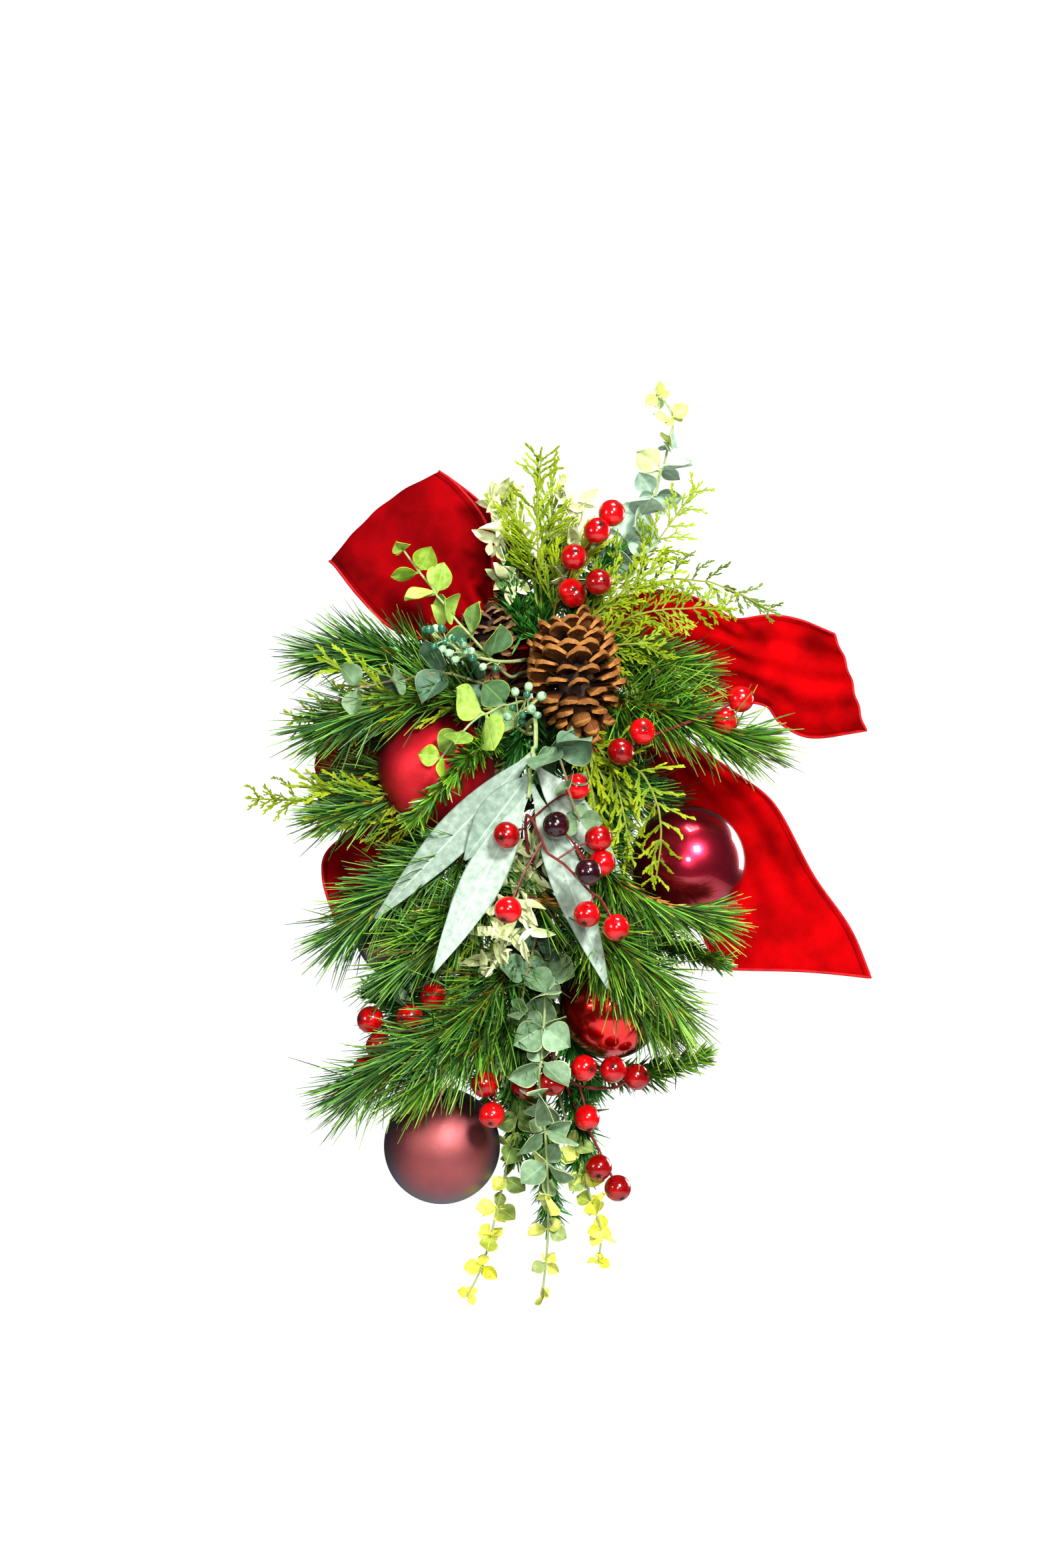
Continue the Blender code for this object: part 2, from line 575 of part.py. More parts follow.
class Stem:
    """A closed tube along a route, whose side faces are raised into needles and leaves."""

    def __init__(self, route, marks, radii, sides):
        self.route = route
        self.sides = sides
        self.mesh = bmesh.new()
        self.side_faces = {}
        self.own = Space()
        self.frames = []
        facing = TO_VIEWER
        for mark in reversed(marks):
            heading = route.heading(mark)
            facing = unit_across(facing, heading)
            self.frames.insert(0, (heading, facing))
        rings = []
        for mark, radius, (heading, facing) in zip(marks, radii, self.frames):
            right = heading.cross(facing)
            ring = []
            for k in range(sides):
                turn = 2 * math.pi * (k - 0.5) / sides
                way = facing * math.cos(turn) + right * math.sin(turn)
                ring.append(self.mesh.verts.new(route.at(mark) + way * radius))
            rings.append(ring)
        for i, (low, high) in enumerate(zip(rings, rings[1:])):
            for k in range(sides):
                k2 = (k + 1) % sides
                corners = (low[k], low[k2], high[k2], high[k])
                self.side_faces[(i, k)] = self.mesh.faces.new(corners)
        self.mesh.faces.new(reversed(rings[0]))
        self.mesh.faces.new(rings[-1])
        self.own.add_mesh(self.mesh)

    def foot(self, key):
        """The middle of a side face, the way out of it, and the way along the stem."""
        heading, facing = self.frames[key[0]]
        right = heading.cross(facing)
        turn = 2 * math.pi * key[1] / self.sides
        middle = self.side_faces[key].calc_center_median()
        return middle, facing * math.cos(turn) + right * math.sin(turn), heading

    def side_towards(self, ring, direction):
        """The side face of a ring that looks most along a direction."""
        keys = [(ring, k) for k in range(self.sides)]
        return max(keys, key=lambda key: self.foot(key)[1].dot(direction))

    def raise_needle(self, key, tip):
        """Draws a side face out to a point, when there is room for it."""
        corners = [v.co.copy() for v in self.side_faces[key].verts]
        middle = sum(corners, Vector()) / 4
        slim = [middle.lerp(c, PROBE_WIDTH).lerp(tip, PROBE_FOOT) for c in corners]
        shell = [(0, 1, 4), (1, 2, 4), (2, 3, 4), (3, 0, 4), (3, 2, 1, 0)]
        if self.own.crossed_by(slim + [tip], shell) or not SPACE.fits(corners + [tip], shell):
            return False
        self.own.add(slim + [tip], shell)
        drawn = bmesh.ops.poke(self.mesh, faces=[self.side_faces.pop(key)])
        drawn["verts"][0].co = tip
        return True

    def raise_blade(self, key, blade, axis, length, twist=0.0, face_on=False):
        """Draws a side face out into a leaf, turned to the viewer if face_on, if it has room."""
        middle, _, heading = self.foot(key)
        across = axis.cross(unit_across(TO_VIEWER, axis)) if face_on else unit_across(heading, axis)
        if across.dot(heading) < 0:
            across.negate()
        across = Matrix.Rotation(twist, 3, axis) @ across
        rings = blade.rings(middle, axis, across, length)
        points = [p for ring in rings for p in ring]
        corners = [v.co.copy() for v in self.side_faces[key].verts]
        shell = ring_faces(len(rings), 4)
        rooted = ring_faces(len(rings) + 1, 4)
        if self.own.crossed_by(points, shell) or not SPACE.fits(corners + points, rooted):
            return False
        self.own.add(points, shell)
        face = self.side_faces.pop(key)
        for ring in rings:
            drawn = bmesh.ops.extrude_discrete_faces(self.mesh, faces=[face])
            face = drawn["faces"][0]
            for vertex, place in zip(face.verts, ring):
                vertex.co = place
        return True


def ring_faces(count, sides):
    """The faces of a closed tube of rings, in the order of its points."""
    faces = [tuple(reversed(range(sides)))]
    for i in range(count - 1):
        for k in range(sides):
            k2 = (k + 1) % sides
            low = i * sides
            faces.append((low + k, low + k2, low + sides + k2, low + sides + k))
    faces.append(tuple((count - 1) * sides + k for k in range(sides)))
    return faces


class Blade:
    """The form of a leaf: half widths along it, its thickness and how far it bends."""

    def __init__(self, width, profile, thickness=LEAF_THICKNESS, bend=0.0):
        self.width = width
        self.profile = profile
        self.thickness = thickness
        self.bend = bend

    def rings(self, foot, axis, across, length):
        """The rings of points from the leaf's foot to its end."""
        normal = across.cross(axis)
        found = []
        for share, half in self.profile:
            lift = normal * self.bend * share * share * MM
            middle = foot + axis * length * share + lift
            side = across * (self.width * half * MM)
            face = normal * (self.thickness / 2 * MM)
            found.append([
                middle - face - side,
                middle + face - side,
                middle + face + side,
                middle - face + side,
            ])
        return found


def even_marks(start, end, count):
    """Distances spaced evenly, both ends in."""
    return [start + (end - start) * i / (count - 1) for i in range(count)]


def taper(marks, first, last):
    """A radius for each mark, from the first to the last."""
    spread = marks[-1] - marks[0]
    return [(first + (last - first) * (m - marks[0]) / spread) * MM for m in marks]


# Objects

def material(name):
    """The material of this name."""
    found = bpy.data.materials.get(name)
    if found is None:
        colour, roughness, metallic = COLOURS[name]
        found = bpy.data.materials.new(name)
        found.use_nodes = True
        shader = found.node_tree.nodes["Principled BSDF"]
        shader.inputs["Base Color"].default_value = colour
        shader.inputs["Roughness"].default_value = roughness
        shader.inputs["Metallic"].default_value = metallic
        found.diffuse_color = colour
    return found


def make_object(name, shape, slot, smooth=False):
    """An object of its own, noted as finished so that later pieces keep off it."""
    SPACE.add_mesh(shape)
    mesh = bpy.data.meshes.new(name)
    shape.to_mesh(mesh)
    shape.free()
    mesh.materials.append(material(slot))
    if smooth:
        mesh.shade_smooth()
        mesh.set_sharp_from_angle(angle=math.radians(SHARP_ANGLE))
    made = bpy.data.objects.new(name, mesh)
    bpy.context.scene.collection.objects.link(made)
    return made


def fuse(name, shapes, slot, smooth=False):
    """One object from closed shapes that reach into each other."""
    parts = bpy.data.collections.new(name + "_pieces")
    bpy.context.scene.collection.children.link(parts)
    objects = []
    for count, shape in enumerate(shapes):
        mesh = bpy.data.meshes.new(f"{name}_{count}")
        shape.to_mesh(mesh)
        shape.free()
        objects.append(bpy.data.objects.new(mesh.name, mesh))
    base = objects[0]
    bpy.context.scene.collection.objects.link(base)
    for other in objects[1:]:
        parts.objects.link(other)
    union = base.modifiers.new("union", "BOOLEAN")
    union.operation = "UNION"
    union.solver = "MANIFOLD"
    union.operand_type = "COLLECTION"
    union.collection = parts
    graph = bpy.context.evaluated_depsgraph_get()
    graph.update()
    whole = bmesh.new()
    whole.from_mesh(base.evaluated_get(graph).data)
    for old in objects:
        bpy.data.objects.remove(old)
    bpy.data.collections.remove(parts)
    return make_object(name, whole, slot, smooth)


def tube(route, marks, radii, sides):
    """A plain closed tube."""
    return Stem(route, marks, radii, sides).mesh


def ball(centre, size, segments, rings, axis):
    """A ball, or an egg of three half sizes, whose poles lie on an axis."""
    shape = bmesh.new()
    turn = axis.to_track_quat("Z", "Y").to_matrix().to_4x4()
    place = Matrix.Translation(centre) @ turn @ Matrix.Diagonal((*size, 1.0))
    bmesh.ops.create_uvsphere(
        shape, u_segments=segments, v_segments=rings, radius=1.0, matrix=place
    )
    return shape


# The bundle and the eye

def make_bundle():
    """The taped bundle: a round bar that thins towards its lower end."""
    top = Vector((BUNDLE_X, -BUNDLE_DEPTH, BUNDLE_TOP)) * MM
    bottom = Vector((BUNDLE_X, -BUNDLE_DEPTH, BUNDLE_BOTTOM)) * MM
    route = Route([top, (top + bottom) / 2, bottom])
    marks = even_marks(0.0, route.length, BUNDLE_RINGS)
    radii = taper(marks, BUNDLE_RADIUS_TOP, BUNDLE_RADIUS_BOTTOM)
    make_object("stem_bundle", tube(route, marks, radii, BUNDLE_SIDES), "stem_tape", smooth=True)


def make_eye():
    """The eye: a flat ring against the door, on a shank that reaches the bundle's back."""
    ring = bmesh.new()
    profile = [
        ring.verts.new(Vector((x, y, 0.0)) * MM)
        for x, y in (
            (EYE_HOLE_RADIUS, 0.0),
            (EYE_HOLE_RADIUS + EYE_RIM, 0.0),
            (EYE_HOLE_RADIUS + EYE_RIM, -EYE_THICKNESS),
            (EYE_HOLE_RADIUS, -EYE_THICKNESS),
        )
    ]
    edges = [ring.edges.new(pair) for pair in zip(profile, profile[1:] + profile[:1])]
    bmesh.ops.spin(
        ring, geom=profile + edges, cent=(0.0, 0.0, 0.0), axis=(0.0, 1.0, 0.0),
        angle=2 * math.pi, steps=EYE_SEGMENTS, use_merge=True,
    )
    bmesh.ops.recalc_face_normals(ring, faces=ring.faces)
    bmesh.ops.translate(ring, verts=ring.verts, vec=Vector((0.0, 0.0, -EYE_HOLE_RADIUS)) * MM)
    ring_foot = -2 * EYE_HOLE_RADIUS - EYE_RIM / 2
    middle_y = -EYE_THICKNESS / 2
    bundle_back = -BUNDLE_DEPTH + bundle_radius(SHANK_END_Z) + SEAT_GAP
    shank = Route([
        Vector((0.0, middle_y, ring_foot)) * MM,
        *[Vector(bend) * MM for bend in SHANK_BENDS],
        Vector((BUNDLE_X, bundle_back, SHANK_END_Z)) * MM,
    ])
    marks = shank.ring_marks(0.0, shank.length)
    bar = tube(shank, marks, [SHANK_RADIUS * MM] * len(marks), SHANK_SIDES)
    fuse("hanger_eye", [ring, bar], "hook_wire")


# The bow

def ribbon_strip(left, right, rows):
    """A thin closed strip between two edge lines."""
    edges = [Route([spot(*p) for p in left]), Route([spot(*p) for p in right])]
    grid = []
    for i in range(rows + 1):
        a = edges[0].at(edges[0].length * i / rows)
        b = edges[1].at(edges[1].length * i / rows)
        grid.append([a.lerp(b, k / RIBBON_COLUMNS) for k in range(RIBBON_COLUMNS + 1)])
    shape = bmesh.new()
    sheets = ([], [])
    for i in range(rows + 1):
        for k in range(RIBBON_COLUMNS + 1):
            along = grid[min(i + 1, rows)][k] - grid[max(i - 1, 0)][k]
            across = grid[i][min(k + 1, RIBBON_COLUMNS)] - grid[i][max(k - 1, 0)]
            normal = along.cross(across).normalized() * (RIBBON_THICKNESS / 2 * MM)
            sheets[0].append(shape.verts.new(grid[i][k] + normal))
            sheets[1].append(shape.verts.new(grid[i][k] - normal))
    width = RIBBON_COLUMNS + 1
    for i in range(rows):
        for k in range(RIBBON_COLUMNS):
            a = i * width + k
            for corners in ((a, a + width, a + width + 1), (a, a + width + 1, a + 1)):
                shape.faces.new([sheets[0][c] for c in corners])
                shape.faces.new([sheets[1][c] for c in reversed(corners)])
    rim = [edge for edge in shape.edges if edge.is_boundary]
    bmesh.ops.bridge_loops(shape, edges=rim)
    bmesh.ops.recalc_face_normals(shape, faces=shape.faces)
    return shape


def make_bow():
    """The bow: loops and tails that meet in the knot behind the bundle."""
    x, depth, z = KNOT_CENTRE
    half = [h * MM for h in KNOT_HALF]
    upright = Vector((0.0, 0.0, 1.0))
    knot = ball(Vector((x, -depth, z)) * MM, half, KNOT_SEGMENTS, KNOT_RINGS, upright)
    strips = [ribbon_strip(left, right, rows) for left, right, rows in BOW_STRIPS]
    fuse("ribbon_bow", [knot, *strips], "velvet_red")


# Baubles

def make_bauble(name, slot, centre, radius, root):
    """A bauble, and its cap with the wire pick that runs from the cap to the bundle."""
    centre = spot(*centre)
    foot = bundle_spot(*root, PICK_GAP)
    to_bundle = (foot - centre).normalized()
    size = (radius * MM, radius * MM, radius * MM)
    shape = ball(centre, size, BAUBLE_SEGMENTS, BAUBLE_RINGS, to_bundle)
    make_object(name, shape, slot, smooth=True)
    seat = centre + to_bundle * (radius + SEAT_GAP) * MM
    line = Route([seat, foot])
    steps = (CAP_HEIGHT * CAP_SHOULDER, CAP_HEIGHT, CAP_HEIGHT + PICK_COLLAR)
    marks = [0.0, *[step * MM for step in steps], line.length]
    radii = (CAP_RADIUS, CAP_RADIUS, CAP_RADIUS * CAP_SHOULDER, PICK_RADIUS, PICK_RADIUS)
    shape = tube(line, marks, [size * MM for size in radii], CAP_SIDES)
    make_object(name + "_cap", shape, "cap_metal")


# Cones

def swell_at(share, form):
    """How full an egg shape is at a share of its length; form is the arc's start and span."""
    start, span = form
    return math.sin(math.pi * (start + span * share))


def make_cone(name, root, line, length, radius, sides, rings):
    """A pine cone: an egg-shaped core with rows of open scales, on its own wired stem."""
    route = stem_from_bundle(root, line)
    start = route.length - length * MM
    marks = route.ring_marks(0.0, start - CONE_NECK * MM)
    bare = len(marks)
    radii = [CONE_STEM_RADIUS * MM] * bare
    for i in range(rings + 1):
        share = i / rings
        marks.append(start + length * share * MM)
        radii.append(radius * CONE_CORE * swell_at(share, CONE_CORE_SWELL) * MM)
    stem = Stem(route, marks, radii, sides)
    rng = random.Random(name)
    for i in range(rings):
        share = (i + 0.5) / rings
        swell = swell_at(share, CONE_SCALE_SWELL)
        lean = CONE_LEAN_LOW + (CONE_LEAN_TOP - CONE_LEAN_LOW) * share
        reach = (radius * swell - radii[bare + i] / MM * 0.8) * (1 + 0.12 * lean)
        width = radius * CONE_SCALE_WIDTH * swell
        scale = Blade(width, CONE_SCALE, CONE_SCALE_THICKNESS, CONE_SCALE_CURL)
        for side in range(sides):
            key = (bare + i, side)
            _, out, heading = stem.foot(key)
            shift = CONE_STAGGER if (i + side) % 2 else -CONE_STAGGER
            axis = wander(out + heading * (lean + shift), CONE_WANDER, rng)
            if not stem.raise_blade(key, scale, axis, reach * MM):
                stem.raise_blade(key, scale, axis, reach * 0.8 * MM)
    make_object(name, stem.mesh, "cone_wood")


# Sprays of leaves

def leaf_stem(root, line, first, pairs, foot, radii):
    """A four-sided stem clear of the finished pieces, and the rings that carry its leaves."""
    route = stem_from_bundle(root, line)
    route.bend_clear(radii[0])
    start = first * route.length
    marks = [0.0]
    places = []
    for i in range(pairs):
        middle = start + (route.length - start - foot * MM) * i / max(pairs - 1, 1)
        marks += route.ring_marks(marks[-1], middle - foot / 2 * MM)[1:]
        places.append(len(marks) - 1)
        marks.append(middle + foot / 2 * MM)
    marks.append(route.length)
    stem = Stem(route, marks, taper(marks, *radii), 4)
    return stem, places


def make_eucalyptus(name, root, line, first, sizes):
    """A silver-dollar sprig: pairs of round leaves, each pair turned from the last."""
    rng = random.Random(name)
    stem, places = leaf_stem(root, line, first, len(sizes), LEAF_FOOT, (STEM_RADIUS, TIP_RADIUS))
    for count, (ring, size) in enumerate(zip(places, sizes)):
        for side in (0, 2) if count % 3 == 2 else (1, 3):
            raise_round_leaf(stem, (ring, side), size, rng)
    make_object(name, stem.mesh, "eucalyptus_leaf")


def raise_round_leaf(stem, key, size, rng):
    """Raises one round leaf, trying other leans until it has room."""
    _, out, heading = stem.foot(key)
    for attempt in range(LEAF_TRIES):
        lean = LEAF_LEAN + rng.uniform(-0.2, 0.25) + 0.12 * attempt
        axis = wander(out + heading * lean + TO_VIEWER * LEAF_FACING, 0.12 + 0.06 * attempt, rng)
        outline = ROUND_LEAF if size > SMALL_LEAF else OVAL_LEAF
        shape = Blade(size, outline, LEAF_THICKNESS, rng.uniform(-LEAF_BEND, LEAF_BEND))
        length = size * (LEAF_LENGTH - 0.08 * attempt) * MM
        twist = rng.uniform(-LEAF_TWIST, LEAF_TWIST)
        if stem.raise_blade(key, shape, axis, length, twist, attempt % 3 < 2):
            return


def make_willow(name, root, line, leaves):
    """The long grey-green leaves, drawn from one stem to their tips."""
    route = stem_from_bundle(root, line)
    route.bend_clear(WILLOW_RADII[0])
    start = route.length - WILLOW_STEP * len(leaves) * MM
    marks = route.ring_marks(0.0, start)
    bare = len(marks)
    for i in range(len(leaves)):
        marks += [start + (WILLOW_STEP * i + step) * MM for step in (1.5, WILLOW_STEP - 0.5)]
    stem = Stem(route, marks, taper(marks, *WILLOW_RADII), WILLOW_SIDES)
    for count, (tip, width, bend, twist) in enumerate(leaves):
        ring = bare + 2 * count
        key = stem.side_towards(ring, spot(*tip) - route.at(marks[ring]))
        way = spot(*tip) - stem.foot(key)[0]
        shape = Blade(width, LANCE_LEAF, LEAF_THICKNESS, bend)
        stem.raise_blade(key, shape, way.normalized(), way.length, math.radians(twist), True)
    make_object(name, stem.mesh, "willow_leaf")


def make_cream_spray(name, root, line, first, pairs, size):
    """A spray of small cream-tipped leaves round a thin stem."""
    rng = random.Random(name)
    radii = (CREAM_STEM_RADIUS, TIP_RADIUS)
    stem, places = leaf_stem(root, line, first, pairs, CREAM_FOOT, radii)
    for ring in places:
        for side in range(4):
            _, out, heading = stem.foot((ring, side))
            for _ in range(LEAF_TRIES):
                axis = wander(out + heading * CREAM_LEAN, 0.25, rng)
                bend = rng.uniform(-LEAF_BEND, LEAF_BEND)
                shape = Blade(size * CREAM_WIDTH, CREAM_LEAF, LEAF_THICKNESS, bend)
                reach = size * rng.uniform(0.8, 1.15) * MM
                if stem.raise_blade((ring, side), shape, axis, reach, rng.uniform(-0.4, 0.4)):
                    break
    make_object(name, stem.mesh, "pale_leaf")


# Cedar

def make_cedar(name, root, line, first, branchlets, reach):
    """A flat cedar frond: tapering branchlets along both sides of its rib."""
    rng = random.Random(name)
    stem, places = leaf_stem(root, line, first, branchlets, CEDAR_FOOT, CEDAR_RADII)
    for count, ring in enumerate(places):
        share = count / max(branchlets - 1, 1)
        size = reach * (0.62 + 0.7 * math.sin(math.pi * (0.22 + 0.5 * share)) - 0.75 * share)
        for side in (1, 3):
            _, out, heading = stem.foot((ring, side))
            for attempt in range(LEAF_TRIES):
                lean = CEDAR_LEAN + 0.2 * attempt
                axis = wander(out + heading * lean, 0.05 + 0.05 * attempt, rng)
                length = size * rng.uniform(0.85, 1.1) * (1 - 0.07 * attempt) * MM
                bend = rng.uniform(-CEDAR_BEND, CEDAR_BEND)
                shape = Blade(CEDAR_WIDTH, CEDAR_LEAF, CEDAR_THICKNESS, bend)
                if stem.raise_blade((ring, side), shape, axis, length, rng.uniform(-0.2, 0.2)):
                    break
    make_object(name, stem.mesh, "cedar_green")


# Berries and seeds

def make_berries(name, slot, root, line, berries, form):
    """A stem with round berries on short stalks, fused into one body."""
    radius, stalk, segments, rings = form
    route = stem_from_bundle(root, line)
    route.bend_clear(STEM_RADIUS)
    marks = route.ring_marks(0.0, route.length)
    stem = Stem(route, marks, taper(marks, STEM_RADIUS, TIP_RADIUS), 4)
    shapes = [stem.mesh]
    for place in berries:
        place = spot(*place)
        reaches = even_marks(FIRST_STALK * route.length, route.length - MM, STALK_CHOICES)
        nearest = min(reaches, key=lambda mark: (route.at(mark) - place).length)
        start = route.at(max(nearest - STALK_DROP * MM, reaches[0]))
        berry = ball(place, [radius * MM] * 3, segments, rings, (place - start).orthogonal())
        stick = Route([start, place])
        shapes.append(berry)
        shapes.append(tube(stick, [0.0, stick.length], [stalk * MM] * 2, STALK_SIDES))
    fuse(name, shapes, slot, smooth=True)


# Needles

def make_needles(name, slot, root, line, first, needle, rings, radii):
    """A branch with needles drawn out of every side of its stem."""
    rng = random.Random(name)
    route = stem_from_bundle(root, line)
    route.bend_clear(radii[0])
    start = first * route.length
    marks = route.ring_marks(0.0, start)
    bare = len(marks) - 1
    marks += even_marks(start, route.length, rings + 1)[1:]
    stem = Stem(route, marks, taper(marks, *radii), NEEDLE_SIDES)
    for i in range(rings):
        share = i / (rings - 1)
        for side in range(NEEDLE_SIDES):
            key = (bare + i, side)
            middle, out, heading = stem.foot(key)
            for attempt in range(NEEDLE_TRIES):
                lean = NEEDLE_LEAN + NEEDLE_TIP_LEAN * share * share + 0.12 * attempt
                axis = wander(out + heading * lean, 0.09 + 0.04 * attempt, rng)
                reach = needle * rng.uniform(*NEEDLE_SPREAD) * (1 - 0.08 * attempt) * MM
                if stem.raise_needle(key, middle + axis * reach):
                    break
    make_object(name, stem.mesh, slot)


def clear_scene():
    """Empties the scene."""
    for old in list(bpy.data.objects):
        bpy.data.objects.remove(old)


def main():
    """Builds the swag, the stiff pieces first and the needles last."""
    clear_scene()
    make_bundle()
    make_eye()
    make_bow()
    for bauble in BAUBLES:
        make_bauble(*bauble)
    for cone in CONES:
        make_cone(*cone)
    make_willow(*WILLOW)
    for berries in BERRIES:
        make_berries(*berries)
    for sprig in EUCALYPTUS:
        make_eucalyptus(*sprig)
    for spray in CREAM_SPRAYS:
        make_cream_spray(*spray)
    for frond in CEDAR:
        make_cedar(*frond)
    for spray in NEEDLE_SPRAYS:
        make_needles(*spray)


main()
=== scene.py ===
"""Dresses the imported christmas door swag: its velvet, baubles, cones, berries, leaves and needles."""

from __future__ import annotations

import heapq
import itertools
import logging
import math
from collections.abc import Callable
from dataclasses import dataclass
from enum import Enum
from functools import cached_property

import bmesh
import bpy
import numpy as np
from mathutils import Matrix, Vector


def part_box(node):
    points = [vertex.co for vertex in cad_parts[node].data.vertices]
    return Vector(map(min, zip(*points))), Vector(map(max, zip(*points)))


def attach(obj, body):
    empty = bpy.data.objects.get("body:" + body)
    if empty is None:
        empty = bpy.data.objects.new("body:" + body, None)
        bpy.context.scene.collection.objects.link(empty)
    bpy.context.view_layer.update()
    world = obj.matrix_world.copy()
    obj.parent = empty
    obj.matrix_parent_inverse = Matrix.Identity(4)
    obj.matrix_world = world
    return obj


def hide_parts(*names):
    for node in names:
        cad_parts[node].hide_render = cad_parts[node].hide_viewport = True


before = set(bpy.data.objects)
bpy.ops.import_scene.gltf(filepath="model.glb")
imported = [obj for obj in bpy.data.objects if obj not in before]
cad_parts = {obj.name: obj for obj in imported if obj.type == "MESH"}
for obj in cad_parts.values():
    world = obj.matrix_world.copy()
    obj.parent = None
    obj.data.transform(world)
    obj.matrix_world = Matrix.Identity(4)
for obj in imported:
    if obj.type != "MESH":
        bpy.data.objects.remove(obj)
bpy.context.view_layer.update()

LOG = logging.getLogger("swag")
BODY = "root"
MM = 0.001
WELD = 1e-6
GOLDEN_ANGLE = math.radians(137.508)
Array = np.ndarray
Chance = np.random.Generator
Mesh = bpy.types.Mesh
Material = bpy.types.Material
Socket = bpy.types.NodeSocket
Pair = tuple[float, float]
Triple = tuple[float, float, float]
Colour = Triple
Edge = tuple[Triple, ...]

# Where the swag is seen from, in metres, and how far before the door the photo was measured.
VIEW_POINT = Vector((-0.023, -2.4, -0.098))
VIEW_PLANE_DEPTH = 0.08
VIEW_LENS = 78.0
VIEW_SENSOR = 36.0

ORIGIN = np.zeros(3)
ACROSS = np.array((1.0, 0.0, 0.0))
ALONG = np.array((0.0, 1.0, 0.0))
UP = np.array((0.0, 0.0, 1.0))
TO_VIEWER = np.array((0.0, -1.0, 0.0))
ODD_WAY = (0.31, 0.2, 0.93)
Z_TO_Y = Matrix.Rotation(math.radians(-90.0), 3, "X")


def unit(vector: Array) -> Array:
    """The vectors of an array, each one long."""
    return vector / np.maximum(np.linalg.norm(vector, axis=-1, keepdims=True), 1e-12)


def square_to(axis: Array, hint: Array) -> tuple[Array, Array]:
    """Two unit vectors square to each axis, the first as near the hint as it can be.

    Args:
        axis: Unit axes, one a row.
        hint: The wished first vectors, one a row.

    Returns:
        The first and the second vectors.
    """
    first = hint - axis * np.sum(hint * axis, axis=-1, keepdims=True)
    weak = np.linalg.norm(first, axis=-1) < WELD
    first[weak] = np.cross(axis[weak], ODD_WAY)
    first = unit(first)
    return first, np.cross(axis, first)


def read_at(at: float | Array, marks: Array, rows: Array) -> Array:
    """Rows of three numbers, read off between their marks."""
    return np.stack([np.interp(at, marks, rows[:, i]) for i in range(3)], axis=-1)


def smooth_line(points: Array, steps: int = 6) -> Array:
    """Points on the smooth curve through others, evenly turned.

    Args:
        points: The points to pass, one a row.
        steps: How many pieces each span is cut in.

    Returns:
        The curve's points.
    """
    ends = np.vstack([2 * points[0] - points[1], points, 2 * points[-1] - points[-2]])
    found = []
    for a, b, c, d in zip(ends, ends[1:], ends[2:], ends[3:]):
        gaps = (float(np.linalg.norm(q - p)) for p, q in ((a, b), (b, c), (c, d)))
        before, here, after = (math.sqrt(max(gap, 1e-7)) for gap in gaps)
        leave = c - b + here * ((b - a) / before - (c - a) / (before + here))
        arrive = c - b + here * ((d - c) / after - (d - b) / (here + after))
        cubic, square = 2 * (b - c) + leave + arrive, 3 * (c - b) - 2 * leave - arrive
        found += [cubic * t**3 + square * t**2 + leave * t + b for t in np.arange(steps) / steps]
    found.append(points[-1])
    return np.array(found)


def measured(edge: Edge) -> Array:
    """Places in metres, moved from the photo's measuring plane to their own depth.

    Args:
        edge: Each place's x, z and depth in millimetres.

    Returns:
        The places, one a row.
    """
    points = np.array(edge, dtype=float) * MM
    far = -VIEW_POINT.y
    shrink = (far - points[:, 2]) / (far - VIEW_PLANE_DEPTH)
    x = VIEW_POINT.x + (points[:, 0] - VIEW_POINT.x) * shrink
    z = VIEW_POINT.z + (points[:, 1] - VIEW_POINT.z) * shrink
    return np.stack([x, -points[:, 2], z], axis=1)


# Reading the frame back


@dataclass(frozen=True)
class LeafForm:
    """A leaf or scale of the frame: its foot, and its rings' middles and half widths."""

    foot: Array
    middles: Array
    halves: Array
    normal: Array

    @property
    def length(self) -> float:
        """From the foot to the end."""
        return float(np.linalg.norm(self.middles[-1] - self.foot))

    @property
    def width(self) -> float:
        """The widest half width."""
        return float(np.linalg.norm(self.halves, axis=1).max())

    @property
    def axis(self) -> Array:
        """The way from the foot to the end."""
        return unit(self.middles[-1] - self.foot)


class StemLine:
    """A smooth line along a stem of the frame, from the bundle outwards."""

    HEADING_STEP = 2.0 * MM
    ROD_STEP = 2.5 * MM
    LOOKS = 120

    def __init__(self, points: Array) -> None:
        """Takes the line's points in order."""
        self.points = points
        steps = np.linalg.norm(np.diff(points, axis=0), axis=1)
        self.marks = np.concatenate([[0.0], np.cumsum(steps)])
        self.length = float(self.marks[-1])

    def at(self, distance: float | Array) -> Array:
        """The points this far along."""
        return read_at(distance, self.marks, self.points)

    def heading(self, distance: float | Array) -> Array:
        """The way the line runs, this far along."""
        ahead = self.at(np.minimum(np.asarray(distance) + self.HEADING_STEP, self.length))
        return unit(ahead - self.at(np.maximum(np.asarray(distance) - self.HEADING_STEP, 0.0)))

    def share_of(self, point: Array) -> float:
        """How far along the line, from 0 to 1, it comes nearest to a point.

        Args:
            point: The point.

        Returns:
            The share of the line's length.
        """
        marks = np.linspace(0.0, self.length, self.LOOKS)
        gaps = np.linalg.norm(self.at(marks) - point, axis=1)
        return float(marks[int(gaps.argmin())] / self.length)

    def rod(self, first: float, last: float) -> tuple[Array, Array]:
        """The line's points, evenly spaced, with radii in millimetres that taper along it."""
        marks = np.linspace(0.0, self.length, max(int(self.length / self.ROD_STEP), 4))
        return self.at(marks), np.linspace(first, last, len(marks)) * MM


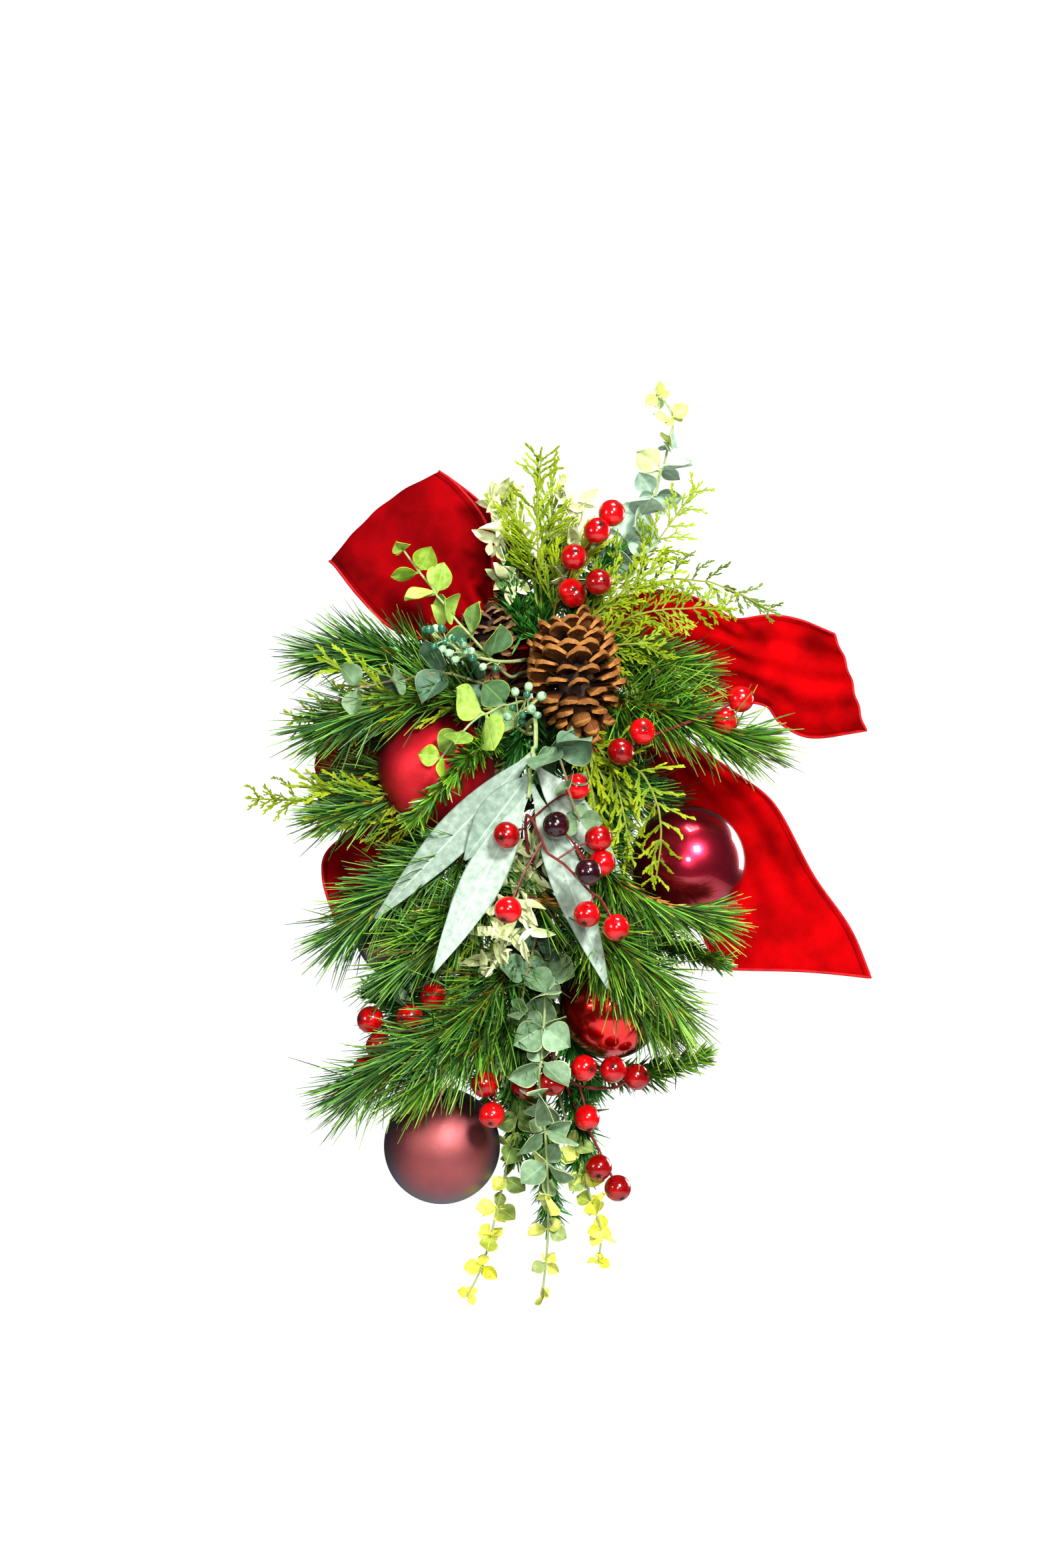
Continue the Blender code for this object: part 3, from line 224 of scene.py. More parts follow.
class NodeForm:
    """One node of the frame, read back as a stem with its leaves, needles or balls."""

    SPIKE_REACH = 5.0 * MM
    THIN_SLACK = 0.004 * MM
    RING_WINDOW = 3.0 * MM
    STEM_WIDTH = 3.5 * MM
    BALL_SLACK = 0.03 * MM
    BALL_POINTS = 6
    FLAT_BLOCK = 0.5

    def __init__(self, name: str) -> None:
        """Takes the node's mesh with its doubled points merged."""
        self.name = name
        self.mesh = bmesh.new()
        self.mesh.from_mesh(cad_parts[name].data)
        bmesh.ops.remove_doubles(self.mesh, verts=self.mesh.verts, dist=WELD)
        self.mesh.verts.ensure_lookup_table()
        self.places = np.array([v.co for v in self.mesh.verts])
        self.beside = [[e.other_vert(v).index for e in v.link_edges] for v in self.mesh.verts]
        self.raised: set[int] = set()

    def spikes(self) -> tuple[Array, Array]:
        """The needles: points whose every edge is long.

        Returns:
            The needles' feet and tips.
        """
        shortest = [min(e.calc_length() for e in v.link_edges) for v in self.mesh.verts]
        found = [i for i, length in enumerate(shortest) if length > self.SPIKE_REACH]
        self.raised |= set(found)
        return np.array([self.places[self.beside[i]].mean(axis=0) for i in found]), self.places[found]

    def leaves(self, thickness: float) -> list[LeafForm]:
        """The leaves or scales, known by the short edges across their rims.

        Args:
            thickness: The leaves' thickness in millimetres.

        Returns:
            The leaves.
        """
        wanted = thickness * MM
        rims = [e for e in self.mesh.edges if abs(e.calc_length() - wanted) < self.THIN_SLACK]
        rim_of: dict[int, tuple[int, int]] = {}
        for edge in rims:
            a, b = (v.index for v in edge.verts)
            rim_of[a] = rim_of[b] = (a, b)
        self.raised |= set(rim_of)
        found = []
        left = set(rim_of)
        while left:
            todo = [left.pop()]
            group = set(todo)
            while todo:
                for other in self.beside[todo.pop()]:
                    if other in left:
                        left.discard(other)
                        group.add(other)
                        todo.append(other)
            leaf = self.leaf_of(group, {rim_of[i] for i in group})
            if leaf is not None:
                found.append(leaf)
        return found

    def leaf_of(self, group: set[int], rims: set[tuple[int, int]]) -> LeafForm | None:
        """The leaf that a joined group of rim points makes up.

        Args:
            group: The rim points.
            rims: The short edges between them.

        Returns:
            The leaf, or None for a scrap.
        """
        feet = {i for v in group for i in self.beside[v] if i not in self.raised}
        if len(rims) < 2 or not feet:
            return None
        foot = self.places[list(feet)].mean(axis=0)
        borders = np.array([(self.places[a] + self.places[b]) / 2 for a, b in rims])
        axis = unit(borders.mean(axis=0) - foot)
        borders = borders[np.argsort((borders - foot) @ axis)]
        pairs = borders[: len(borders) // 2 * 2].reshape(-1, 2, 3)
        middles = pairs.mean(axis=1)
        halves = (pairs[:, 1] - pairs[:, 0]) / 2
        halves[halves @ halves[len(halves) // 2] < 0] *= -1
        normal = unit(np.cross(halves[len(halves) // 2], middles[-1] - foot))
        return LeafForm(foot, middles, halves, normal)

    def balls(self, radius: float) -> list[Array]:
        """The berries or beads: points that lie on one sphere of a known radius.

        Args:
            radius: The radius in millimetres.

        Returns:
            The balls' middles.
        """
        size = radius * MM
        centres: list[Array] = []
        for index, near in enumerate(self.beside):
            for trio in itertools.combinations(near, 3):
                centre = self.sphere_through([index, *trio])
                if centre is None:
                    continue
                if abs(np.linalg.norm(centre - self.places[index]) - size) > self.BALL_SLACK:
                    continue
                if all(np.linalg.norm(centre - c) > size / 4 for c in centres):
                    gaps = np.abs(np.linalg.norm(self.places - centre, axis=1) - size)
                    on_it = np.flatnonzero(gaps < self.BALL_SLACK)
                    if len(on_it) > self.BALL_POINTS:
                        centres.append(centre)
                        self.raised |= set(on_it.tolist())
        return centres

    def sphere_through(self, indices: list[int]) -> Array | None:
        """The middle of the sphere through four points.

        Args:
            indices: The four points.

        Returns:
            The middle, or None when they lie flat.
        """
        points = self.places[indices] / MM
        rows = 2 * (points[1:] - points[0])
        if abs(np.linalg.det(rows)) < self.FLAT_BLOCK:
            return None
        sums = (points[1:] ** 2).sum(axis=1) - (points[0] ** 2).sum()
        return np.linalg.solve(rows, sums) * MM

    def stem(self) -> StemLine:
        """The stem's middle line, along the shortest way from the bundle to the furthest tip.

        Returns:
            The line.
        """
        low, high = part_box("stem_bundle")
        bundle = np.array([(low.x + high.x) / 2, (low.y + high.y) / 2])
        stem = [i for i in range(len(self.places)) if i not in self.raised]
        gaps = np.linalg.norm(self.places[stem][:, :2] - bundle, axis=1)
        start = stem[int(gaps.argmin())]
        reach, before = {start: 0.0}, {start: start}
        queue = [(0.0, start)]
        while queue:
            far, index = heapq.heappop(queue)
            if far > reach[index]:
                continue
            for other in self.beside[index]:
                length = far + float(np.linalg.norm(self.places[other] - self.places[index]))
                if other not in self.raised and length < reach.get(other, math.inf):
                    reach[other], before[other] = length, index
                    heapq.heappush(queue, (length, other))
        passed = [max(reach, key=reach.get)]
        while passed[-1] != start:
            passed.append(before[passed[-1]])
        path = self.places[passed]
        points = []
        window: list[int] = []
        for index in sorted(reach, key=reach.get):
            if np.linalg.norm(path - self.places[index], axis=1).min() >= self.STEM_WIDTH:
                continue
            if window and reach[index] - reach[window[0]] > self.RING_WINDOW:
                points.append(self.places[window].mean(axis=0))
                window = []
            window.append(index)
        points.append(self.places[window].mean(axis=0))
        return StemLine(smooth_line(np.array(points)))


# Shapes that are planted many times


def marked_mesh() -> tuple[bmesh.types.BMesh, bmesh.types.BMLayerItem]:
    """An empty mesh, with its layer for how far across and along each point is."""
    mesh = bmesh.new()
    return mesh, mesh.verts.layers.float_vector.new("mark")


@dataclass(frozen=True)
class Stamp:
    """A small shape with a map of how far across and along each of its points is."""

    points: Array
    faces: list[tuple[int, ...]]
    marks: Array

    @classmethod
    def of(cls, mesh: bmesh.types.BMesh, mark: bmesh.types.BMLayerItem) -> Stamp:
        """The stamp cut from a finished mesh, which is freed.

        Args:
            mesh: The mesh.
            mark: The layer with each point's place on the map.

        Returns:
            The stamp.
        """
        bmesh.ops.recalc_face_normals(mesh, faces=mesh.faces)
        mesh.verts.index_update()
        points = np.array([v.co for v in mesh.verts])
        marks = np.array([v[mark].xy for v in mesh.verts])
        faces = [tuple(v.index for v in f.verts) for f in mesh.faces]
        mesh.free()
        return cls(points, faces, marks)

    def shaped(self, points: Array) -> Stamp:
        """The same stamp with its points moved."""
        return Stamp(points, self.faces, self.marks)


def rod_stamp(sides: int, *stations: Pair) -> Stamp:
    """A closed rod along Y, one long and one in radius, drawn out ring by ring.

    Args:
        sides: The sides of its rings.
        stations: How far along each ring is, and its radius.

    Returns:
        The stamp.
    """
    mesh, mark = marked_mesh()
    bmesh.ops.create_circle(mesh, cap_ends=True, segments=sides, radius=1.0)
    bmesh.ops.rotate(mesh, verts=mesh.verts, matrix=Z_TO_Y)
    face = mesh.faces[:][0]
    for place, (along, radius) in enumerate(stations):
        if place:
            drawn = bmesh.ops.extrude_face_region(mesh, geom=[face])["geom"]
            stale, face = face, next(g for g in drawn if isinstance(g, bmesh.types.BMFace))
            if place > 1:
                bmesh.ops.delete(mesh, geom=[stale], context="FACES_ONLY")
        for corner in face.verts:
            across = Vector((corner.co.x, 0.0, corner.co.z)).normalized() * max(radius, 1e-3)
            corner.co = Vector((across.x, along, across.z))
            corner[mark] = Vector((across.x, along, 0.0))
    return Stamp.of(mesh, mark)


def blade_stamp(columns: int, rows: int, *outline: Pair) -> Stamp:
    """A closed flat blade: half widths across, lengths along, and 1 for its thickness.

    Args:
        columns: Pieces across.
        rows: Pieces along.
        outline: How far along each station of its edge is, and its half width.

    Returns:
        The stamp.
    """
    mesh, mark = marked_mesh()
    bmesh.ops.create_grid(mesh, x_segments=columns, y_segments=rows, size=1.0)
    edge = smooth_line(np.array([(a, w, 0.0) for a, w in outline]), 5)
    for corner in mesh.verts:
        along = (corner.co.y + 1.0) / 2.0
        corner[mark] = Vector((corner.co.x, along, 0.0))
        half = float(np.interp(along, edge[:, 0], edge[:, 1]))
        corner.co = Vector((corner.co.x * half, along, 0.0))
    bmesh.ops.solidify(mesh, geom=mesh.faces[:] + mesh.verts[:] + mesh.edges[:], thickness=1.0)
    return Stamp.of(mesh, mark)


def ball_stamp(segments: int, rings: int) -> Stamp:
    """A ball of radius 1 whose poles lie along Y.

    Args:
        segments: Its pieces round.
        rings: Its pieces from pole to pole.

    Returns:
        The stamp.
    """
    mesh, mark = marked_mesh()
    bmesh.ops.create_uvsphere(mesh, u_segments=segments, v_segments=rings, radius=1.0)
    bmesh.ops.rotate(mesh, verts=mesh.verts, matrix=Z_TO_Y)
    for corner in mesh.verts:
        corner[mark] = Vector((corner.co.x, corner.co.y, 0.0))
    return Stamp.of(mesh, mark)


def star_stamp(points: int, depth: float, waist: float = 0.42, narrowing: float = 0.7) -> Stamp:
    """A pointed star of radius 1 that faces along Y.

    Args:
        points: How many points it has.
        depth: How thick it is.
        waist: Its radius between the points.
        narrowing: Its outer face's size against its inner one.

    Returns:
        The stamp.
    """
    mesh, mark = marked_mesh()
    bmesh.ops.create_circle(mesh, cap_ends=True, segments=points * 2, radius=1.0)
    for place, corner in enumerate(mesh.verts):
        corner.co *= 1.0 if place % 2 == 0 else waist
    bmesh.ops.rotate(mesh, verts=mesh.verts, matrix=Z_TO_Y)
    drawn = bmesh.ops.extrude_face_region(mesh, geom=mesh.faces[:])["geom"]
    for corner in (g for g in drawn if isinstance(g, bmesh.types.BMVert)):
        corner.co = Vector((corner.co.x * narrowing, depth, corner.co.z * narrowing))
    return Stamp.of(mesh, mark)


class Growth:
    """Copies of stamps, gathered into one mesh."""

    def __init__(self) -> None:
        """Starts with nothing planted."""
        self.points: list[Array] = []
        self.marks: list[Array] = []
        self.tints: list[Array] = []
        self.shares: list[Array] = []
        self.faces: list[tuple[int, ...]] = []
        self.count = 0

    def plant(
        self, stamp: Stamp, origins: Array, across: Array, along: Array, sizes: Array,
        tints: Array, shares: Array, bends: Array | None = None,
    ) -> None:
        """Plants one copy of a stamp for each row.

        Args:
            stamp: The shape.
            origins: Where each copy's foot is, in metres.
            across: Each copy's unit X axis.
            along: Each copy's unit Y axis.
            sizes: Each copy's size along its three axes, in metres.
            tints: A number from 0 to 1 that varies each copy's colour.
            shares: How far out on its sprig each copy grows, from 0 to 1.
            bends: How far each copy's tip leans off its Y axis, in metres.
        """
        copies, corners = len(origins), len(stamp.points)
        if not copies:
            return
        up = np.cross(across, along)
        shape = stamp.points[None] * sizes[:, None]
        if bends is not None:
            shape[..., 2] += bends[:, None] * stamp.marks[None, :, 1] ** 2
        placed = origins[:, None] + shape[..., :1] * across[:, None] + shape[..., 1:2] * along[:, None]
        placed += shape[..., 2:] * up[:, None]
        self.points.append(placed.reshape(-1, 3))
        self.marks.append(np.tile(stamp.marks, (copies, 1)))
        self.tints.append(np.repeat(tints, corners))
        self.shares.append(np.repeat(shares, corners))
        for copy in range(copies):
            start = self.count + copy * corners
            self.faces.extend(tuple(i + start for i in face) for face in stamp.faces)
        self.count += copies * corners

    def plant_one(
        self, stamp: Stamp, origin: Array = ORIGIN, across: Array = ACROSS, along: Array = ALONG,
        size: Array | float = 1.0, tint: float = 0.5, share: float = 0.5,
    ) -> None:
        """Plants one copy of a stamp, as it stands if no more is said, with what plant takes for a row."""
        rows = (np.reshape(row, (1, 3)) for row in (origin, across, along))
        self.plant(stamp, *rows, np.full((1, 3), size), np.array([tint]), np.array([share]))

    def mesh(self, sharp: float = 60.0) -> Mesh:
        """The mesh of all the copies, with their map, tints and shares.

        Args:
            sharp: The angle in degrees past which an edge stays sharp.

        Returns:
            The mesh.
        """
        mesh = bpy.data.meshes.new("growth")
        mesh.from_pydata(np.concatenate(self.points).tolist(), [], self.faces)
        marks = np.concatenate(self.marks)
        corners = np.empty(len(mesh.loops), dtype=np.int32)
        mesh.loops.foreach_get("vertex_index", corners)
        flat = np.stack([marks[corners, 0] * 0.5 + 0.5, marks[corners, 1]], axis=1)
        mesh.uv_layers.new(name="chart").data.foreach_set("uv", flat.astype(np.float32).ravel())
        for label, values in (("tint", self.tints), ("share", self.shares)):
            layer = mesh.attributes.new(label, "FLOAT", "POINT")
            layer.data.foreach_set("value", np.concatenate(values).astype(np.float32))
        mesh.shade_smooth()
        mesh.set_sharp_from_angle(angle=math.radians(sharp))
        return mesh


def wire_mesh(lines: list[tuple[Array, Array | float]], resolution: int = 1) -> Mesh:
    """Round rods along lines, as one mesh.

    Args:
        lines: Each rod's points and its radius at each of them, in metres.
        resolution: The roundness of the rods.

    Returns:
        The mesh.
    """
    curve = bpy.data.curves.new("wire", "CURVE")
    curve.dimensions = "3D"
    curve.bevel_depth = 1.0
    curve.bevel_resolution = resolution
    curve.use_fill_caps = True
    for points, radii in lines:
        spline = curve.splines.new("POLY")
        spline.points.add(len(points) - 1)
        spline.points.foreach_set("co", np.hstack([points, np.ones((len(points), 1))]).ravel())
        spline.points.foreach_set("radius", np.broadcast_to(radii, len(points)).astype(np.float32))
    holder = bpy.data.objects.new("wire", curve)
    mesh = bpy.data.meshes.new_from_object(holder)
    bpy.data.objects.remove(holder)
    bpy.data.curves.remove(curve)
    work = bmesh.new()
    work.from_mesh(mesh)
    return tidy_mesh(work, mesh)


def tidy_mesh(work: bmesh.types.BMesh, mesh: Mesh, sharp: float = 50.0) -> Mesh:
    """Welds a mesh's doubled points, turns its faces out and shades it smooth.

    Args:
        work: The mesh as it is worked on, which is freed.
        mesh: Where it is put down.
        sharp: The angle in degrees past which an edge stays sharp.

    Returns:
        The mesh.
    """
    bmesh.ops.remove_doubles(work, verts=work.verts, dist=WELD)
    bmesh.ops.recalc_face_normals(work, faces=work.faces)
    work.to_mesh(mesh)
    work.free()
    mesh.shade_smooth()
    mesh.set_sharp_from_angle(angle=math.radians(sharp))
    return mesh


# Finishes


def operator_of(operation: str, reflected: bool = False) -> Callable[[Number, Number | float], Number]:
    """The operator that lays a Math node.

    Args:
        operation: The node's operation.
        reflected: Whether the values change places.

    Returns:
        The operator.
    """

    def worked(self: Number, other: Number | float) -> Number:
        """The outcome of the Math node."""
        return self.worked(operation, *((other, self) if reflected else (self, other)))

    return worked


class Number:
    """A number that varies over a surface, for sums written as they are read."""

    def __init__(self, recipe: Recipe, socket: Socket) -> None:
        """Takes the recipe it belongs to and the socket it comes from."""
        self.recipe = recipe
        self.socket = socket

    def worked(self, operation: str, *values: Number | float) -> Number:
        """The outcome of a Math node on these values."""
        made = self.recipe.node("ShaderNodeMath", {"operation": operation}, dict(enumerate(values)))
        return Number(self.recipe, made.outputs[0])

    __add__ = __radd__ = operator_of("ADD")
    __sub__ = operator_of("SUBTRACT")
    __rsub__ = operator_of("SUBTRACT", reflected=True)
    __mul__ = __rmul__ = operator_of("MULTIPLY")
    __pow__ = operator_of("POWER")
    __rpow__ = operator_of("POWER", reflected=True)

    def __abs__(self) -> Number:
        """The size without its sign."""
        return self.worked("ABSOLUTE", self)

    def sine(self) -> Number:
        """The sine."""
        return self.worked("SINE", self)

    def spread(self, low: float, high: float, to_low: float = 0.0, to_high: float = 1.0) -> Number:
        """The number as it goes smoothly from one pair of limits to another, held within them.

        Args:
            low: The lower limit.
            high: The upper limit.
            to_low: What the lower limit becomes.
            to_high: What the upper limit becomes.

        Returns:
            The number within its new limits.
        """
        inputs = {"Value": self, "From Min": low, "From Max": high, "To Min": to_low, "To Max": to_high}
        made = self.recipe.node("ShaderNodeMapRange", {"interpolation_type": "SMOOTHSTEP"}, inputs)
        return Number(self.recipe, made.outputs[0])


Paint = Socket | Triple


class Tree:
    """The nodes of a material or world while they are laid."""

    def __init__(self, owner: Material | bpy.types.World) -> None:
        """Starts the owner's nodes afresh."""
        owner.use_nodes = True
        self.tree = owner.node_tree
        self.tree.nodes.clear()

    def node(self, kind: str, settings: dict | None = None, inputs: dict | None = None) -> bpy.types.Node:
        """Lays one node.

        Args:
            kind: The node's type.
            settings: Its settings by name.
            inputs: A value, a Number or a socket for each input, by name or place.

        Returns:
            The node.
        """
        made = self.tree.nodes.new(kind)
        for name, value in (settings or {}).items():
            setattr(made, name, value)
        self.feed(made, inputs or {})
        return made

    def feed(self, node: bpy.types.Node, inputs: dict) -> None:
        """Sets or links the inputs of a node.

        Args:
            node: The node.
            inputs: A value, a Number or a socket for each input, by name or place.
        """
        for name, value in inputs.items():
            socket = node.inputs[name]
            if isinstance(value, Number):
                value = value.socket
            if isinstance(value, Socket):
                self.tree.links.new(value, socket)
            else:
                socket.default_value = (*value, 1.0) if socket.type == "RGBA" else value


class Recipe(Tree):
    """A material while its nodes are laid."""

    def __init__(self, name: str) -> None:
        """Starts a material with nothing but its shader and output."""
        self.material = bpy.data.materials.new(name)
        super().__init__(self.material)
        self.shader = self.node("ShaderNodeBsdfPrincipled")
        self.node("ShaderNodeOutputMaterial", {}, {"Surface": self.shader.outputs[0]})
        self.place = self.node("ShaderNodeTexCoord").outputs["Object"]

    @cached_property
    def chart(self) -> Socket:
        """The piece's own map."""
        return self.node("ShaderNodeUVMap", {"uv_map": "chart"}).outputs[0]

    @cached_property
    def chart_parts(self) -> bpy.types.Node:
        """The map's two numbers, apart."""
        return self.node("ShaderNodeSeparateXYZ", {}, {0: self.chart})

    @cached_property
    def across(self) -> Number:
        """How far across its leaf or scale a point is, from -1 to 1."""
        return Number(self, self.chart_parts.outputs["X"]) * 2.0 - 1.0

    @cached_property
    def along(self) -> Number:
        """How far along its leaf or scale a point is, from 0 to 1."""
        return Number(self, self.chart_parts.outputs["Y"])

    def attribute(self, name: str) -> Number:
        """A number kept on the mesh."""
        return Number(self, self.node("ShaderNodeAttribute", {"attribute_name": name}).outputs["Fac"])

    def stretched(self, factors: Triple, source: Socket) -> Socket:
        """Coordinates multiplied along each axis."""
        settings, inputs = {"operation": "MULTIPLY"}, {0: source, 1: factors}
        return self.node("ShaderNodeVectorMath", settings, inputs).outputs[0]

    def noise(self, scale: float, detail: float = 2.0, source: Socket | None = None) -> Number:
        """Soft noise of this many grains a metre, from 0 to 1."""
        inputs = {"Vector": source or self.place, "Scale": scale, "Detail": detail}
        return Number(self, self.node("ShaderNodeTexNoise", {}, inputs).outputs[0])

    def cells(self, scale: float) -> Number:
        """How far a point is from the middle of its grain, for this many grains a metre."""
        inputs = {"Vector": self.place, "Scale": scale}
        return Number(self, self.node("ShaderNodeTexVoronoi", {}, inputs).outputs["Distance"])

    def mixed(self, share: Number | float, first: Paint, second: Paint) -> Socket:
        """The second colour over the first, by a share."""
        settings = {"data_type": "RGBA", "clamp_factor": True}
        return self.node("ShaderNodeMix", settings, {0: share, 6: first, 7: second}).outputs[2]

    def shaded(self, colour: Socket, value: Number | float, strength: float = 1.0) -> Socket:
        """A colour made darker or lighter, and duller or stronger."""
        inputs = {"Color": colour, "Value": value, "Saturation": strength}
        return self.node("ShaderNodeHueSaturation", {}, inputs).outputs[0]

    def finish(
        self, colour: Paint, roughness: Number | float, height: Number | None = None, relief: float = 0.3,
        **sockets: float | Triple,
    ) -> None:
        """Joins colour, roughness and relief to the shader.

        Args:
            colour: The base colour.
            roughness: The roughness.
            height: The relief's height, from 0 to 1.
            relief: The relief's full height in millimetres.
            sockets: The shader's other sockets, by name with _ for each space.
        """
        inputs: dict = {"Base Color": colour, "Roughness": roughness}
        inputs |= {name.replace("_", " "): value for name, value in sockets.items()}
        if height is not None:
            rise = {"Height": height, "Distance": relief * MM, "Strength": 1.0}
            inputs["Normal"] = self.node("ShaderNodeBump", {}, rise).outputs[0]
        self.feed(self.shader, inputs)


@dataclass(frozen=True)
class Finish:
    """A finish of the swag, made once under its own name."""

    name: str

    @cached_property
    def recipe(self) -> Recipe:
        """The start of its material."""
        return Recipe(self.name)

    @cached_property
    def material(self) -> Material:
        """Its material, with its nodes laid."""
        self.lay()
        return self.recipe.material

    def lay(self) -> None:
        """Lays its nodes."""
        raise NotImplementedError


@dataclass(frozen=True)
class LeafFinish(Finish):
    """A leaf with a pale midrib, side veins and rim, which turns colour along its sprig."""

    low: Colour
    high: Colour
    rim: Colour
    vein: Colour
    turn: Pair = (0.45, 1.0)
    roughness: float = 0.55
    veins: float = 15.0
    vein_strength: float = 0.45
    vary: float = 0.5

    def lay(self) -> None:
        """Lays the mottling, then the veins, then the rim."""
        recipe = self.recipe
        share, tint = recipe.attribute("share"), recipe.attribute("tint")
        mottle, fine = recipe.noise(220.0, 3.0), recipe.noise(1400.0)
        flesh = recipe.mixed((share + (tint - 0.5) * 0.35).spread(*self.turn), self.low, self.high)
        dark, light = recipe.shaded(flesh, 0.62, 1.1), recipe.shaded(flesh, 1.3, 0.85)
        blend = tint * self.vary + mottle * 1.2 + fine * 0.25 - 0.35 - self.vary * 0.35
        flesh = recipe.mixed(blend.spread(0.0, 1.0), dark, light)
        off = abs(recipe.across)
        midrib = off.spread(0.025, 0.075, 1.0, 0.0)
        slant = (recipe.along - off * 0.28) * self.veins * math.tau
        side = slant.sine().spread(0.8, 1.0) * off.spread(0.55, 0.95, 1.0, 0.0) * 0.5
        web = (midrib + side) * self.vein_strength
        flesh = recipe.mixed(web, flesh, self.vein)
        rim = off.spread(0.9, 1.0) + recipe.along.spread(0.95, 1.0)
        flesh = recipe.mixed(rim * 0.6, flesh, self.rim)
        rough = self.roughness + (fine - 0.5) * 0.2
        height = fine * 0.35 + mottle * 0.3 + (1.0 - web) * 0.6
        recipe.finish(flesh, rough, height, 0.3, Specular_IOR_Level=0.4)


@dataclass(frozen=True)
class NeedleFinish(Finish):
    """A needle that is darker at its foot and lighter at its tip."""

    foot: Colour
    body: Colour
    tip: Colour
    stray: Colour
    roughness: float = 0.42

    def lay(self) -> None:
        """Lays the colour along the needle, then the stray tints."""
        recipe = self.recipe
        tint, grain = recipe.attribute("tint"), recipe.noise(900.0)
        colour = recipe.mixed(recipe.along.spread(0.0, 0.3), self.foot, self.body)
        colour = recipe.mixed(recipe.along.spread(0.55, 1.05) * 0.8, colour, self.tip)
        colour = recipe.mixed(tint.spread(0.5, 0.75) * 0.85, colour, self.stray)
        colour = recipe.mixed(tint.spread(0.9, 0.93), colour, self.foot)
        colour = recipe.shaded(colour, (tint * 31.0).sine() * 0.6 + 0.82 + grain * 0.2)
        rough = self.roughness + (grain - 0.5) * 0.3
        recipe.finish(colour, rough, grain, 0.12, Specular_IOR_Level=0.35)


@dataclass(frozen=True)
class ScaleFinish(Finish):
    """Cedar scales, lighter at each scale's tip and towards the frond's end."""

    low: Colour
    high: Colour
    tip: Colour
    roughness: float = 0.55

    def lay(self) -> None:
        """Lays the colour out along the frond, then each scale's tip."""
        recipe = self.recipe
        share, tint, grain = recipe.attribute("share"), recipe.attribute("tint"), recipe.noise(500.0)
        out = (share * 0.8 + tint * 0.5 + grain * 0.4 - 0.4).spread(0.0, 1.0)
        colour = recipe.mixed(out, self.low, self.high)
        colour = recipe.mixed(recipe.along.spread(0.55, 1.0) * (share * 0.5 + 0.2), colour, self.tip)
        rough = self.roughness + (grain - 0.5) * 0.25
        recipe.finish(colour, rough, grain + recipe.along * 0.5, 0.2, Specular_IOR_Level=0.22)


@dataclass(frozen=True)
class VelvetFinish(Finish):
    """Velvet with painted fold shade and painted sheen in soft patches over its pile, and a rolled and
    stitched hem.
    """

    # The shade colour is painted shade and the lift colour is painted sheen.
    shade: Colour = (0.14, 0.0002, 0.0008)
    body: Colour = (0.46, 0.0005, 0.002)
    lift: Colour = (0.7, 0.001, 0.005)
    sheen: Colour = (1.0, 0.06, 0.08)

    def lay(self) -> None:
        """Lays the pile's painted fold shade and painted sheen, then the hem and its stitches, with painted
        shade in their groove.
        """
        recipe = self.recipe
        pile_shade_and_sheen, pressed, pile = recipe.noise(26.0, 4.0), recipe.noise(75.0), recipe.noise(2600.0, 1.0)
        # Painted shade: soft patches where the pile seems folded or pressed turn to the shade colour.
        fold = (pile_shade_and_sheen * 1.2 + pressed * 0.3 - 0.3).spread(0.0, 0.8)
        colour = recipe.mixed(fold, self.shade, self.body)
        # Painted sheen: lighter patches on the pile.
        colour = recipe.mixed((pile * 0.5 + pile_shade_and_sheen * 0.8).spread(0.55, 1.0) * 0.5, colour, self.lift)
        off = abs(recipe.across)
        hem = off.spread(0.93, 0.97)
        stitch = (recipe.along * 4200.0).sine().spread(-0.2, 0.6) * off.spread(0.905, 0.925)
        seam = stitch * off.spread(0.93, 0.945, 1.0, 0.0)
        # Painted shade along the sunken stitch line.
        colour = recipe.mixed(seam * 0.7, colour, self.shade)
        height = pile * 0.6 + hem * 1.4 - seam * 0.8 + pressed * 1.2
        recipe.finish(
            colour, 0.75 + pile * 0.2, height, 0.4,
            Sheen_Weight=0.06, Sheen_Roughness=0.3, Specular_IOR_Level=0.04, Sheen_Tint=self.sheen,
        )


@dataclass(frozen=True)
class BaubleFinish(Finish):
    """A painted ball: mirror bright, or satin with a fine grain."""

    colour: Colour
    depth: Colour
    roughness: float
    metal: float
    coat: float
    grain: float
    # The rim colour is painted shade and reflection towards the ball's outline.
    rim: Colour

    def lay(self) -> None:
        """Lays the paint's slight clouding and the painted shade and reflection towards its outline, then its
        grain and handling marks.
        """
        recipe = self.recipe
        cloud, grain = recipe.noise(30.0, 3.0), recipe.noise(3200.0)
        marks = recipe.noise(140.0, 5.0).spread(0.58, 0.75)
        colour = recipe.mixed(cloud.spread(0.3, 0.7), self.depth, self.colour)
        # Painted shade and reflection: the paint turns to the rim colour where the ball turns away from the
        # view.
        facing = Number(recipe, recipe.node("ShaderNodeLayerWeight", {}, {"Blend": 0.5}).outputs["Facing"])
        colour = recipe.mixed(facing.spread(0.14, 0.88), colour, self.rim)
        rough = self.roughness + grain * self.grain * 0.3 + marks * 0.05
        relief = 0.02 + self.grain * 0.25
        recipe.finish(
            colour, rough, grain, relief, Metallic=self.metal, Coat_Weight=self.coat, Coat_Roughness=0.02
        )


